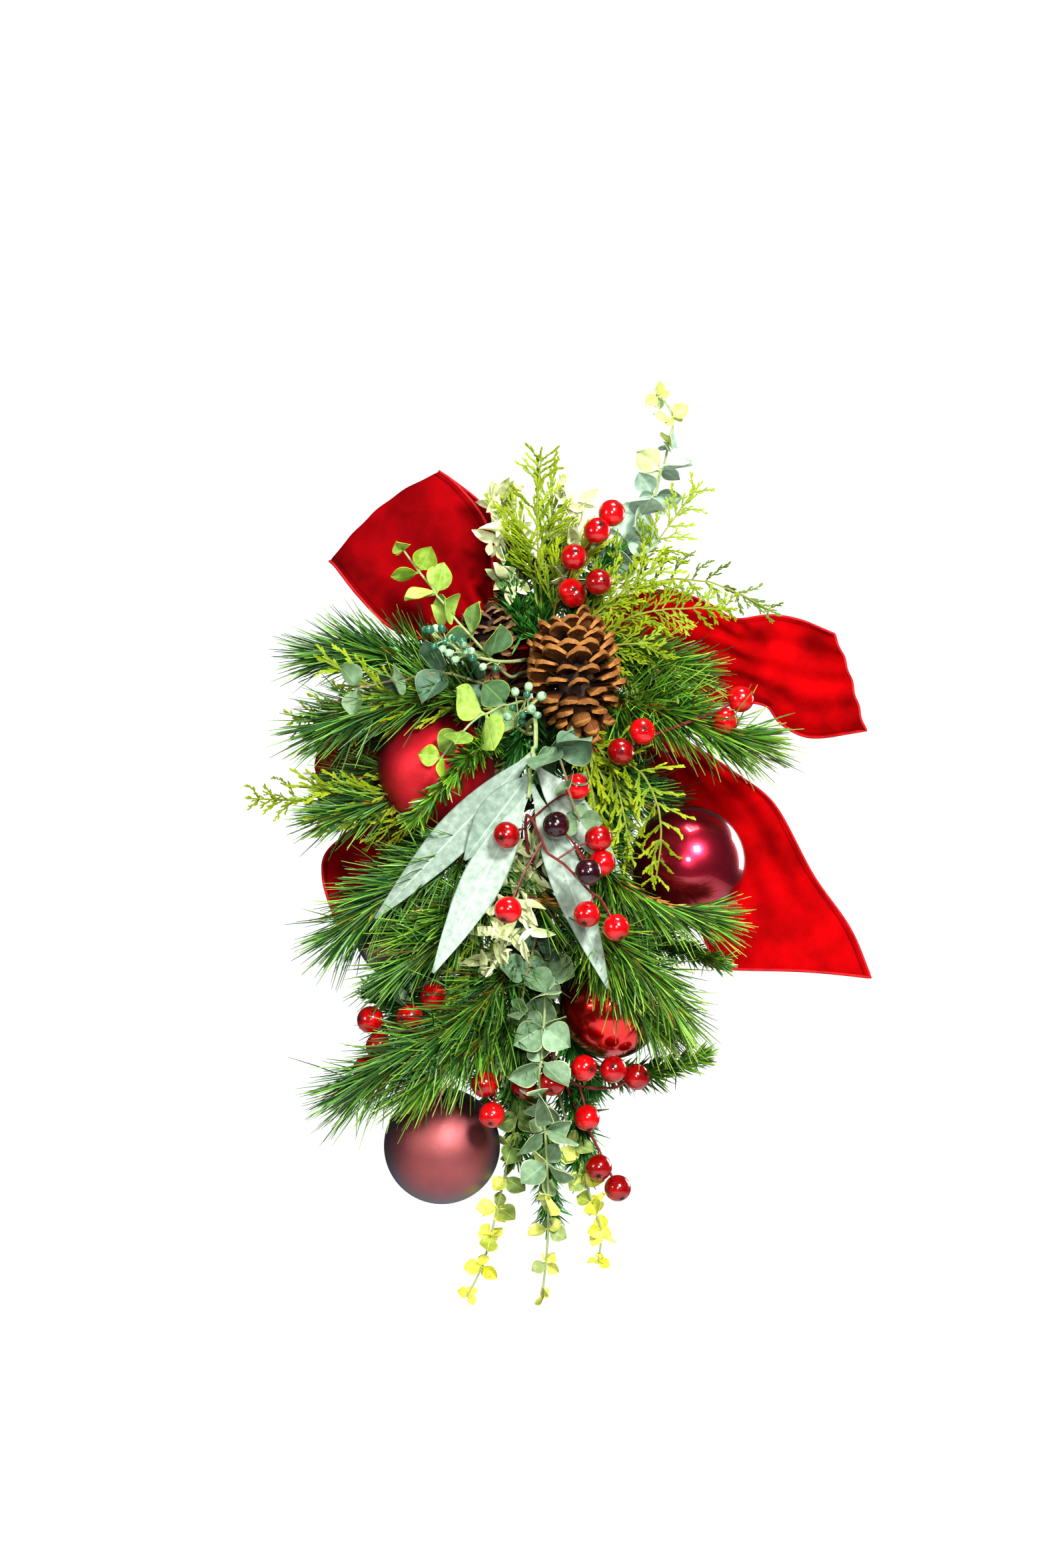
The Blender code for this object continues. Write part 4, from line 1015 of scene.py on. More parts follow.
@dataclass(frozen=True)
class BerryFinish(Finish):
    """A glossy berry with darker dimples and a bloom about its stalk."""

    flesh: Colour
    deep: Colour
    bloom: Colour
    vary: float = 0.5

    def lay(self) -> None:
        """Lays the mottling, then the bloom."""
        recipe = self.recipe
        mottle = recipe.noise(190.0, 3.0)
        speck = recipe.cells(900.0).spread(0.05, 0.3, 1.0, 0.0)
        ripe = mottle * (1.4 - self.vary) + recipe.attribute("tint") * self.vary - 0.3
        colour = recipe.mixed(ripe.spread(0.1, 0.65), self.deep, self.flesh)
        colour = recipe.mixed(recipe.along.spread(0.75, 1.0) * 0.7, colour, self.deep)
        colour = recipe.mixed(speck * 0.25, colour, self.bloom)
        rough = 0.12 + mottle * 0.14 + speck * 0.12
        height = mottle + (1.0 - speck) * 0.3
        recipe.finish(colour, rough, height, 0.25, Coat_Weight=0.5, Coat_Roughness=0.08)


@dataclass(frozen=True)
class WoodFinish(Finish):
    """Cone scales or bark: painted shade in the hollows towards each scale's foot, and edges made lighter
    partly by wear and partly by painted highlight.
    """

    # The dark colour is painted shade in the hollows.
    dark: Colour
    body: Colour
    edge: Colour
    grain: float = 320.0
    relief: float = 0.5

    def lay(self) -> None:
        """Lays the grain and the painted shade towards each scale's foot, then its edge, lighter from wear
        and from painted highlight.
        """
        recipe = self.recipe
        lines = recipe.noise(self.grain, 4.0)
        streak = recipe.noise(18.0, 3.0, recipe.stretched((1.0, 0.12, 1.0), recipe.chart))
        # Painted shade: darker towards each scale's foot, where the scales overlap.
        colour = recipe.mixed((recipe.along + lines * 0.3).spread(0.3, 0.95), self.dark, self.body)
        faded = (streak + recipe.attribute("tint") * 0.4).spread(0.55, 1.0) * 0.35
        colour = recipe.mixed(faded, colour, self.edge)
        # The lighter edge is partly wear and partly painted highlight on the scale's rim.
        edge = recipe.along + (lines - 0.5) * 0.16 - abs(recipe.across) ** 3 * 0.08
        wear_and_highlight = edge.spread(0.84, 0.92) * edge.spread(0.93, 1.0, 1.0, 0.3)
        colour = recipe.mixed(wear_and_highlight * (streak * 0.8 + 0.45), colour, self.edge)
        height = lines + streak * 0.6
        recipe.finish(colour, 0.65 + lines * 0.25, height, self.relief, Specular_IOR_Level=0.35)


@dataclass(frozen=True)
class StalkFinish(Finish):
    """A stalk or wrapped wire, streaked along and a little knobbly."""

    body: Colour
    streak: Colour
    roughness: float = 0.6
    metal: float = 0.0

    def lay(self) -> None:
        """Lays the streaks and the knobbly relief."""
        recipe = self.recipe
        lines, fine = recipe.noise(260.0, 3.0), recipe.noise(1500.0)
        colour = recipe.mixed((lines + fine * 0.3).spread(0.4, 0.9), self.body, self.streak)
        rough = self.roughness + (fine - 0.5) * 0.25
        recipe.finish(colour, rough, lines + fine * 0.4, 0.3, Metallic=self.metal)


class Paints:
    """The swag's finishes."""

    PINE_DEEP = NeedleFinish(
        "pine needles deep", (0.4, 0.19, 0.02), (0.08, 0.22, 0.025), (0.24, 0.45, 0.07), (0.012, 0.075, 0.03)
    )
    PINE_FRESH = NeedleFinish(
        "pine needles fresh", (0.42, 0.2, 0.02), (0.12, 0.3, 0.02), (0.36, 0.52, 0.08), (0.015, 0.085, 0.02)
    )
    FIR = NeedleFinish(
        "fir needles", (0.1, 0.12, 0.01), (0.025, 0.16, 0.018), (0.16, 0.36, 0.05), (0.04, 0.2, 0.05), 0.32
    )
    FIR_FRESH = NeedleFinish(
        "fir needles fresh", (0.2, 0.16, 0.01), (0.07, 0.2, 0.012), (0.3, 0.45, 0.04), (0.03, 0.15, 0.03),
        0.34,
    )
    EUCALYPTUS = LeafFinish(
        "silver dollar leaves", (0.1, 0.2, 0.12), (0.17, 0.28, 0.13), (0.3, 0.36, 0.18), (0.24, 0.36, 0.2)
    )
    EUCALYPTUS_FRESH = LeafFinish(
        "silver dollar leaves fresh", (0.13, 0.26, 0.12), (0.34, 0.52, 0.05), (0.5, 0.66, 0.03),
        (0.34, 0.5, 0.12), (0.4, 0.85),
    )
    EUCALYPTUS_PALE = LeafFinish(
        "silver dollar leaves pale", (0.38, 0.54, 0.41), (0.6, 0.68, 0.1), (0.7, 0.82, 0.6),
        (0.56, 0.7, 0.52), (0.75, 1.0),
    )
    EUCALYPTUS_LONG = LeafFinish(
        "silver dollar leaves long", (0.23, 0.37, 0.21), (0.8, 0.78, 0.06), (0.7, 0.76, 0.34),
        (0.42, 0.56, 0.3), (0.66, 1.0),
    )
    EUCALYPTUS_YELLOW = LeafFinish(
        "silver dollar leaves yellow", (0.24, 0.4, 0.12), (0.92, 0.88, 0.04), (0.9, 0.88, 0.2),
        (0.8, 0.82, 0.2), (0.45, 0.9),
    )
    WILLOW = LeafFinish(
        "long leaves", (0.26, 0.37, 0.28), (0.52, 0.62, 0.52), (0.07, 0.14, 0.09), (0.6, 0.74, 0.62),
        (0.0, 1.0), 0.6, 34.0, 0.42, 0.3,
    )
    CREAM = LeafFinish(
        "cream leaves", (0.36, 0.46, 0.14), (0.74, 0.78, 0.42), (0.92, 0.94, 0.7), (0.36, 0.48, 0.16),
        (0.1, 0.8), 0.6, 9.0, 0.4, 0.7,
    )
    CEDAR_BRIGHT = ScaleFinish(
        "cedar scales bright", (0.09, 0.18, 0.006), (0.28, 0.37, 0.008), (0.5, 0.5, 0.015)
    )
    CEDAR_OLIVE = ScaleFinish(
        "cedar scales olive", (0.1, 0.18, 0.008), (0.3, 0.38, 0.008), (0.55, 0.54, 0.02)
    )
    # A darker copy of the cedar: painted shade for fronds that sit deep in the swag.
    CEDAR_SHADED = ScaleFinish(
        "cedar scales shaded", (0.03, 0.085, 0.012), (0.12, 0.2, 0.016), (0.36, 0.33, 0.05)
    )
    VELVET = VelvetFinish("red velvet")
    # A darker copy of the velvet: painted shade for the loops and the left tail.
    VELVET_SHADED = VelvetFinish(
        "red velvet in painted shade", (0.07, 0.0002, 0.0008), (0.24, 0.0006, 0.003), (0.44, 0.002, 0.006)
    )
    VELVET_HEM = StalkFinish("velvet hem", (0.34, 0.001, 0.003), (0.6, 0.006, 0.01), 0.85)
    # Each bauble's last colour is its painted shade and reflection at the outline.
    BAUBLE_SATIN = BaubleFinish(
        "satin red paint", (0.86, 0.04, 0.055), (0.68, 0.018, 0.036), 0.36, 0.75, 0.0, 0.45,
        (0.24, 0.004, 0.02),
    )
    BAUBLE_BURGUNDY = BaubleFinish(
        "burgundy mirror paint", (0.54, 0.024, 0.06), (0.4, 0.012, 0.036), 0.27, 0.9, 1.0, 0.0,
        (0.12, 0.003, 0.012),
    )
    BAUBLE_WINE = BaubleFinish(
        "wine mirror paint", (0.2, 0.008, 0.022), (0.12, 0.004, 0.014), 0.24, 0.9, 1.0, 0.0,
        (0.05, 0.003, 0.008),
    )
    BAUBLE_MAUVE = BaubleFinish(
        "satin mauve paint", (0.38, 0.105, 0.105), (0.27, 0.08, 0.09), 0.32, 0.75, 0.0, 0.5,
        (0.13, 0.125, 0.16),
    )
    BAUBLE_GLOSS = BaubleFinish(
        "red mirror paint", (0.9, 0.016, 0.014), (0.7, 0.008, 0.01), 0.2, 0.9, 1.0, 0.0, (0.4, 0.004, 0.008)
    )
    CAP = StalkFinish("crimped gold metal", (0.75, 0.55, 0.22), (0.9, 0.75, 0.4), 0.28, 1.0)
    STEEL = StalkFinish("hanger wire", (0.5, 0.5, 0.48), (0.3, 0.29, 0.27), 0.35, 1.0)
    PICK = StalkFinish("green pick wire", (0.05, 0.1, 0.035), (0.12, 0.18, 0.07), 0.45, 0.2)
    TAPE = StalkFinish("florist tape", (0.03, 0.065, 0.022), (0.07, 0.12, 0.04), 0.75)
    # The first colour of each wood finish is painted shade towards the foot of each scale or sheath.
    CONE = WoodFinish("cone wood", (0.005, 0.0018, 0.001), (0.14, 0.043, 0.009), (0.44, 0.205, 0.046))
    # The cone core's near-black colour is painted shade in the gaps between the scales.
    CONE_CORE = StalkFinish("cone core", (0.02, 0.008, 0.004), (0.06, 0.025, 0.01), 0.8)
    CONE_DARK = WoodFinish("cone wood dark", (0.01, 0.004, 0.003), (0.075, 0.03, 0.012), (0.3, 0.17, 0.08))
    BERRY = BerryFinish("red berries", (0.62, 0.002, 0.006), (0.24, 0.0008, 0.002), (0.75, 0.03, 0.02))
    BERRY_DARK = BerryFinish("dark berries", (0.05, 0.004, 0.01), (0.012, 0.002, 0.004), (0.16, 0.03, 0.03))
    SEED = BerryFinish("green seeds", (0.42, 0.64, 0.38), (0.025, 0.14, 0.075), (0.5, 0.7, 0.45), 1.2)
    CALYX = WoodFinish("berry stars", (0.01, 0.006, 0.004), (0.05, 0.02, 0.01), (0.09, 0.04, 0.02))
    BERRY_STALK = StalkFinish("berry stalks", (0.1, 0.008, 0.008), (0.22, 0.03, 0.02), 0.4)
    GREEN_STALK = StalkFinish("green stalks", (0.24, 0.36, 0.12), (0.4, 0.42, 0.2))
    ROSY_STALK = StalkFinish("rosy stalks", (0.26, 0.14, 0.09), (0.2, 0.24, 0.1))
    TWIG = StalkFinish("brown twigs", (0.1, 0.05, 0.022), (0.22, 0.12, 0.05))
    CEDAR_TWIG = StalkFinish("cedar twigs", (0.2, 0.28, 0.03), (0.34, 0.34, 0.05))
    SHEATH = WoodFinish("needle sheaths", (0.3, 0.12, 0.015), (0.66, 0.32, 0.04), (0.8, 0.5, 0.12))


# The swag's pieces


def show(mesh: Mesh, name: str, finish: Finish, slot: str, *nodes: str) -> bpy.types.Object:
    """Puts a finished mesh in the scene as a piece of the swag.

    Args:
        mesh: The mesh.
        name: The piece's name.
        finish: Its finish.
        slot: The material slot of the frame's node; not used.
        nodes: The nodes of the frame that it stands for.

    Returns:
        The piece.
    """
    mesh.name = name
    mesh.materials.clear()
    mesh.materials.append(finish.material)
    piece = bpy.data.objects.new(name, mesh)
    bpy.context.collection.objects.link(piece)
    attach(piece, BODY)
    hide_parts(*nodes)
    LOG.info("%s: %d faces", name, len(mesh.polygons))
    return piece


def slot_of(node: str) -> str:
    """The material slot that a node of the frame uses."""
    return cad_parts[node].material_slots[0].material.name


def seeded(name: str) -> Chance:
    """A source of chance that is always the same for one name."""
    return np.random.default_rng(sum(ord(letter) * (place + 7) for place, letter in enumerate(name)))


def spun(angle: float, axis: Array) -> Array:
    """The turn by an angle about an axis."""
    return np.array(Matrix.Rotation(angle, 3, Vector(axis)))


@dataclass
class Piece:
    """A part of the swag that grows round one node of the frame, or fills in between them."""

    node: str

    @property
    def slot(self) -> str:
        """The material slot of its node."""
        return slot_of(self.node)

    def show(self, kind: str, mesh: Mesh, finish: Finish) -> None:
        """Shows its mesh of this kind, in place of its node if it has one."""
        show(mesh, f"{self.node}_{kind}", finish, self.slot, *({self.node} & set(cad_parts)))


@dataclass(frozen=True)
class NeedleKind:
    """How the needles of one kind of branch grow, in millimetres, and how many shape a filling branch."""

    slot: str
    stamp: Stamp
    copies: int
    radius: float
    thickness: float
    bend: float
    wander: float
    reach: Pair
    hops: int
    twig: Pair
    filling: int


PINE = NeedleKind(
    "pine_green", rod_stamp(3, (0.0, 0.7), (0.6, 1.0), (1.0, 0.35)),
    10, 0.62, 0.5, 0.07, 0.17, (0.78, 1.03), 3, (1.9, 1.4), 46,
)
FIR = NeedleKind(
    "fir_green", rod_stamp(3, (0.0, 0.6), (0.6, 1.05), (1.0, 0.3)),
    11, 1.0, 0.45, 0.05, 0.24, (0.7, 1.0), 4, (1.6, 1.2), 36,
)


class Balls:
    """The baubles, which needles and leaves stay out of."""

    ROOM = 1.5 * MM
    TOUCH_LOOKS = (0.35, 0.6, 0.8, 1.0)
    COVER_LOOKS = (0.7, 1.0)
    SHOWN = {"bauble_burgundy_right": 0.8, "bauble_red_satin": 0.7, "bauble_mauve": 0.45}

    def __init__(self) -> None:
        """Takes each bauble's middle and radius from the frame."""
        self.places: list[tuple[Array, float]] = []
        self.shown: list[tuple[Array, float]] = []
        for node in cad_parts:
            if node.startswith("bauble_") and not node.endswith("_cap"):
                low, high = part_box(node)
                middle, radius = np.array((low + high) / 2), max(high - low) / 2
                self.places.append((middle, radius))
                if node in self.SHOWN:
                    self.shown.append((middle, radius * self.SHOWN[node]))

    def clear(self, feet: Array, tips: Array, hides: bool = False) -> Array:
        """Which of these straight needles stay out of every bauble.

        Args:
            feet: The needles' feet.
            tips: The needles' tips.
            hides: Whether they may cover a bauble that the picture shows.

        Returns:
            True for each needle that may stay.
        """
        free = tips[:, 1] < -self.ROOM
        for centre, radius in self.places:
            for t in self.TOUCH_LOOKS:
                free &= np.linalg.norm(feet + (tips - feet) * t - centre, axis=1) > radius + self.ROOM
        sight = np.array(VIEW_POINT)
        for centre, radius in () if hides else self.shown:
            way = unit(centre - sight)
            for t in self.COVER_LOOKS:
                reach = feet + (tips - feet) * t - sight
                off = np.linalg.norm(reach - (reach @ way)[:, None] * way, axis=1)
                free &= (off > radius) | (reach @ way > np.linalg.norm(centre - sight))
        return free


BALLS = Balls()


@dataclass
class NeedleBranch(Piece):
    """A branch of pine or fir: a twig in its sheaths, and its needles."""

    kind: NeedleKind
    finish: NeedleFinish
    hides: bool = False

    MOST_BLEND = 0.4
    OPPOSED = -0.3
    OPPOSED_BLEND = 0.2
    STRAY_SHARE = 0.22
    STRAY_WANDER = 2.3
    MARK_SCATTER = 0.012
    BEND_SCATTER = 0.05
    SHEATH_SIZE = (1.1, 9.5, 0.9)
    SHEATH_OPENING = 0.45

    @property
    def slot(self) -> str:
        """The material slot of its kind of green."""
        return self.kind.slot

    def held(self) -> tuple[StemLine, Array, Array]:
        """Reads its shape off the frame.

        Returns:
            The twig's line, and the feet and tips of the needles that set its shape.
        """
        form = NodeForm(self.node)
        feet, tips = form.spikes()
        return form.stem(), feet, tips

    def build(self) -> None:
        """Grows needles between those that set the shape, then the twig and its sheaths."""
        kind, chance = self.kind, seeded(self.node)
        line, feet, tips = self.held()
        marks = np.array([line.share_of(foot) for foot in feet])
        order = np.argsort(marks)
        feet, tips, marks = feet[order], tips[order], marks[order]
        ways, lengths = unit(tips - feet), np.linalg.norm(tips - feet, axis=1)
        count = len(feet) * kind.copies
        first = np.arange(count) % len(feet)
        second = np.clip(first + chance.integers(-kind.hops, kind.hops + 1, count), 0, len(feet) - 1)
        blend = chance.uniform(0.0, self.MOST_BLEND, count)
        near = np.sum(ways[first] * ways[second], axis=1) > self.OPPOSED
        blend = np.where(near, blend, blend * self.OPPOSED_BLEND)[:, None]
        stray = chance.random((count, 1)) < self.STRAY_SHARE
        loose = kind.wander * np.where(stray, self.STRAY_WANDER, 1.0)
        way = ways[first] * (1 - blend) + ways[second] * blend + chance.normal(0, 1, (count, 3)) * loose
        way = unit(way)
        mark = marks[first] * (1 - blend[:, 0]) + marks[second] * blend[:, 0]
        mark = np.clip(mark + chance.normal(0, self.MARK_SCATTER, count), marks.min(), 1.0)
        length = lengths[first] * chance.uniform(*kind.reach, count)
        along = line.heading(mark * line.length)
        origins = line.at(mark * line.length) + way * kind.twig[1] * 0.5 * MM
        _, across = square_to(way, along + chance.normal(0, 0.5, (count, 3)))
        radii, depths = np.full(count, kind.radius * MM), np.full(count, kind.thickness * MM)
        bends = length * (kind.bend + chance.normal(0, self.BEND_SCATTER, count))
        tints = np.clip(chance.random(count) * 0.8 + chance.random(len(feet))[first] * 0.2, 0, 1)
        kept = BALLS.clear(origins, origins + way * length[:, None], self.hides)
        rows = (origins, across, way, np.stack([radii, length, depths], axis=1), tints, mark, bends)
        growth = Growth()
        growth.plant(kind.stamp, *(row[kept] for row in rows))
        self.show("needles", growth.mesh(), self.finish)
        self.show("twig", wire_mesh([line.rod(*kind.twig)]), Paints.TWIG)
        if kind is PINE:
            self.sheathe(line, marks, chance)

    def sheathe(self, line: StemLine, marks: Array, chance: Chance) -> None:
        """Sets papery sheaths along the needled part of the twig.

        Args:
            line: The twig's line.
            marks: How far along it the needles that set the shape grow, from 0 to 1.
            chance: The source of small differences.
        """
        count = len(marks) * 2
        spots = np.linspace(marks.min(), 0.99, count) * line.length
        along = line.heading(spots)
        out, _ = square_to(along, chance.normal(0, 1, (count, 3)))
        way = unit(along + out * self.SHEATH_OPENING)
        _, across = square_to(way, out)
        sizes = np.tile(np.array(self.SHEATH_SIZE) * MM, (count, 1)) * chance.uniform(0.7, 1.2, (count, 1))
        places = line.at(spots) + out * self.kind.twig[1] * 0.6 * MM
        growth = Growth()
        stamp = rod_stamp(4, (0.0, 1.0), (0.5, 0.8), (1.0, 0.1))
        growth.plant(stamp, places, across, way, sizes, chance.random(count), np.zeros(count))
        self.show("sheaths", growth.mesh(), Paints.SHEATH)


@dataclass
class InnerBranch(NeedleBranch):
    """A shorter branch that fills the swag between the frame's own."""

    line: Edge = ()
    needle: float = 46.0
    bare: float = 0.25
    opening: Pair = (0.95, 0.35)
    back: float = 4.0

    def held(self) -> tuple[StemLine, Array, Array]:
        """Lays a smooth twig through its places, with needles set round it in spirals.

        Returns:
            The twig's line, and the needles' feet and tips.
        """
        count, chance = self.kind.filling, seeded(self.node)
        line = StemLine(smooth_line(measured(self.line)))
        share = self.bare + (1 - self.bare) * (np.arange(count) + 0.5) / count
        feet, along = line.at(share * line.length), line.heading(share * line.length)
        first, second = square_to(along, np.tile(UP, (count, 1)))
        turns = (np.arange(count) * GOLDEN_ANGLE)[:, None]
        out = first * np.cos(turns) + second * np.sin(turns)
        opening = (self.opening[0] + (self.opening[1] - self.opening[0]) * share**2)[:, None]
        way = unit(along * np.cos(opening) + out * np.sin(opening))
        reach = self.needle * MM * chance.uniform(0.85, 1.0, (count, 1))
        tips = feet + way * reach
        tips[:, 1] = np.minimum(tips[:, 1], -self.back * MM)
        return line, feet, tips


Outline = tuple[Pair, ...]
ROUND_OUTLINE: Outline = (
    (0.0, 0.07), (0.08, 0.09), (0.15, 0.4), (0.27, 0.76), (0.45, 0.97), (0.6, 0.94), (0.76, 0.7), (0.9, 0.34),
    (1.0, 0.03),
)
OVAL_OUTLINE: Outline = (
    (0.0, 0.08), (0.08, 0.12), (0.2, 0.6), (0.38, 0.95), (0.55, 0.97), (0.75, 0.7), (0.9, 0.33), (1.0, 0.03)
)


@dataclass
class LeafSprig(Piece):
    """A sprig of round or small oval leaves on a bare stalk."""

    finish: LeafFinish
    stalk: StalkFinish = Paints.ROSY_STALK
    outline: Outline = ROUND_OUTLINE
    size: float = 1.28
    thickness: float = 0.35
    cup: float = 0.3
    twist: float = 0.55
    slender: float = 1.0
    curl: float = 0.1
    scatter: float = 0.0
    extra: int = 0
    radii: Pair = (1.3, 0.7)
    pieces: tuple[int, int] = (8, 12)
    read_thickness: float = 0.8

    MOST_LIFT = 0.5
    CUP_RANGE = (0.4, 1.5)
    CUPPED_SHARE = 0.7
    BACKWARD_CUP = -0.6
    WAVE = 0.07
    FOLD_SCATTER = 0.14
    MIDRIB_DEPTH = 0.05
    MIDRIB_WIDTH = 0.12

    @cached_property
    def stamp(self) -> Stamp:
        """Its leaf, flat."""
        return blade_stamp(*self.pieces, *self.outline)

    def build(self) -> None:
        """Lays a curled leaf over each of the frame's, then the stalk."""
        form, chance = NodeForm(self.node), seeded(self.node)
        leaves, line, growth = form.leaves(self.read_thickness), form.stem(), Growth()
        for leaf in leaves:
            share = line.share_of(leaf.foot)
            self.lay_leaf(growth, leaf, share, chance)
            for more in range(self.extra):
                turn = math.radians((more + 1) * 360 / (self.extra + 1)) + chance.normal(0, 0.3)
                self.lay_leaf(growth, leaf, share, chance, turn, chance.uniform(0.55, 0.9))
        self.show("leaves", growth.mesh(), self.finish)
        self.show("stem", wire_mesh([line.rod(*self.radii)]), self.stalk)

    def lay_leaf(
        self, growth: Growth, leaf: LeafForm, share: float, chance: Chance,
        turn: float = 0.0, scale: float = 1.0,
    ) -> None:
        """Plants one leaf, cupped, waved and curled in its own way.

        Args:
            growth: What it is planted in.
            leaf: The frame's leaf.
            share: How far out on the sprig it grows.
            chance: The source of its small differences.
            turn: How far it is turned from the frame's leaf, in radians.
            scale: Its size against the frame's leaf.
        """
        along = leaf.axis
        normal = leaf.normal * (1.0 if leaf.normal[1] < 0 else -1.0)
        if turn:
            lift = spun(chance.uniform(-self.MOST_LIFT, self.MOST_LIFT), along)
            along, normal = unit(spun(turn, normal) @ along), lift @ normal
        normal = unit(normal - along * (normal @ along))
        normal = spun(chance.normal(0, self.twist), along) @ normal
        half, length = leaf.width * self.size * self.slender * scale, leaf.length * self.size * scale
        u, v = self.stamp.marks.T
        cup = self.cup * half * chance.uniform(*self.CUP_RANGE)
        cup *= 1 if chance.random() < self.CUPPED_SHARE else self.BACKWARD_CUP
        wave = self.WAVE * half * np.sin(v * chance.uniform(5, 9) + chance.uniform(0, 6)) * u
        groove = abs(chance.normal(0, self.FOLD_SCATTER)) * half * np.abs(u)
        groove -= self.MIDRIB_DEPTH * half * np.exp(-((u / self.MIDRIB_WIDTH) ** 2))
        curl = length * chance.normal(0.02, self.curl) * v**2
        shape = self.stamp.points * np.array((half, length, self.thickness * MM))
        shape[:, 2] += cup * u**2 * np.sin(np.pi * np.clip(v, 0.05, 1)) + wave + groove + curl
        foot = leaf.foot + (chance.normal(0, self.scatter, 3) * MM if turn else 0.0)
        across = np.cross(along, normal)
        growth.plant_one(self.stamp.shaped(shape), foot, across, along, tint=chance.random(), share=share)


@dataclass
class WillowStem(Piece):
    """The stem of long, folded, grey-green leaves."""

    node: str = "willow_leaves"
    thickness: float = 0.5
    fold: float = 0.22
    foot_width: float = 1.6
    look: float = 0.03
    read_thickness: float = 0.8
    radii: Pair = (1.9, 1.4)

    def build(self) -> None:
        """Lays a blade through the rings of each of the frame's leaves."""
        form, chance = NodeForm(self.node), seeded(self.node)
        leaves, line, growth = form.leaves(self.read_thickness), form.stem(), Growth()
        stamp = blade_stamp(14, 56, (0.0, 1.0), (0.5, 1.0), (1.0, 1.0))
        u, v = stamp.marks.T
        for leaf in leaves:
            stations = np.append(0.0, np.linalg.norm(leaf.middles - leaf.foot, axis=1) / leaf.length)
            middle = smooth_line(np.vstack([leaf.foot, leaf.middles]))
            along = np.interp(np.linspace(0, 1, len(middle)), np.linspace(0, 1, len(stations)), stations)
            widths = np.append(self.foot_width * MM, np.linalg.norm(leaf.halves, axis=1))
            edge = smooth_line(np.stack([stations, widths, stations * 0], 1))
            half = np.interp(v, edge[:, 0], edge[:, 1])
            side = unit(read_at(v, stations, unit(np.vstack([leaf.halves[:1], leaf.halves]))))
            looks = np.maximum(v - self.look, 0), np.minimum(v + self.look, 1)
            before, after = (read_at(at, along, middle) for at in looks)
            normal = unit(np.cross(side, unit(after - before)))
            if normal[:, 1].mean() > 0:
                normal, side = -normal, -side
            ripple = 0.05 * np.sin(v * 30 + chance.uniform(0, 6)) * u**2
            rise = half * (self.fold * np.abs(u) ** 1.4 + ripple) + stamp.points[:, 2] * self.thickness * MM
            shape = read_at(v, along, middle) + side * (half * u)[:, None] + normal * rise[:, None]
            growth.plant_one(stamp.shaped(shape), tint=chance.random(), share=chance.uniform(0.2, 0.7))
        show(growth.mesh(), "long_leaves", Paints.WILLOW, self.slot, self.node)
        show(wire_mesh([line.rod(*self.radii)]), "long_leaf_stem", Paints.GREEN_STALK, self.slot, self.node)


@dataclass(frozen=True)
class FrondKind:
    """How one kind of cedar branches, in millimetres and degrees."""

    spacing: float
    scale: Triple
    every: float
    angle: float
    share: float
    forks: bool
    between: int
    lean: float = 0.28


CORDS = FrondKind(1.5, (0.72, 2.9, 0.65), 5.0, 17.0, 0.55, False, 2, 0.22)
FERN = FrondKind(1.5, (0.75, 2.7, 0.5), 3.0, 40.0, 0.34, False, 2)
LACE = FrondKind(1.5, (0.75, 2.6, 0.6), 4.2, 34.0, 0.42, True, 1)
BEADS = FrondKind(1.15, (0.85, 2.3, 0.8), 7.0, 26.0, 0.42, False, 1, 0.42)
Branchlet = tuple[Array, Array, Array]


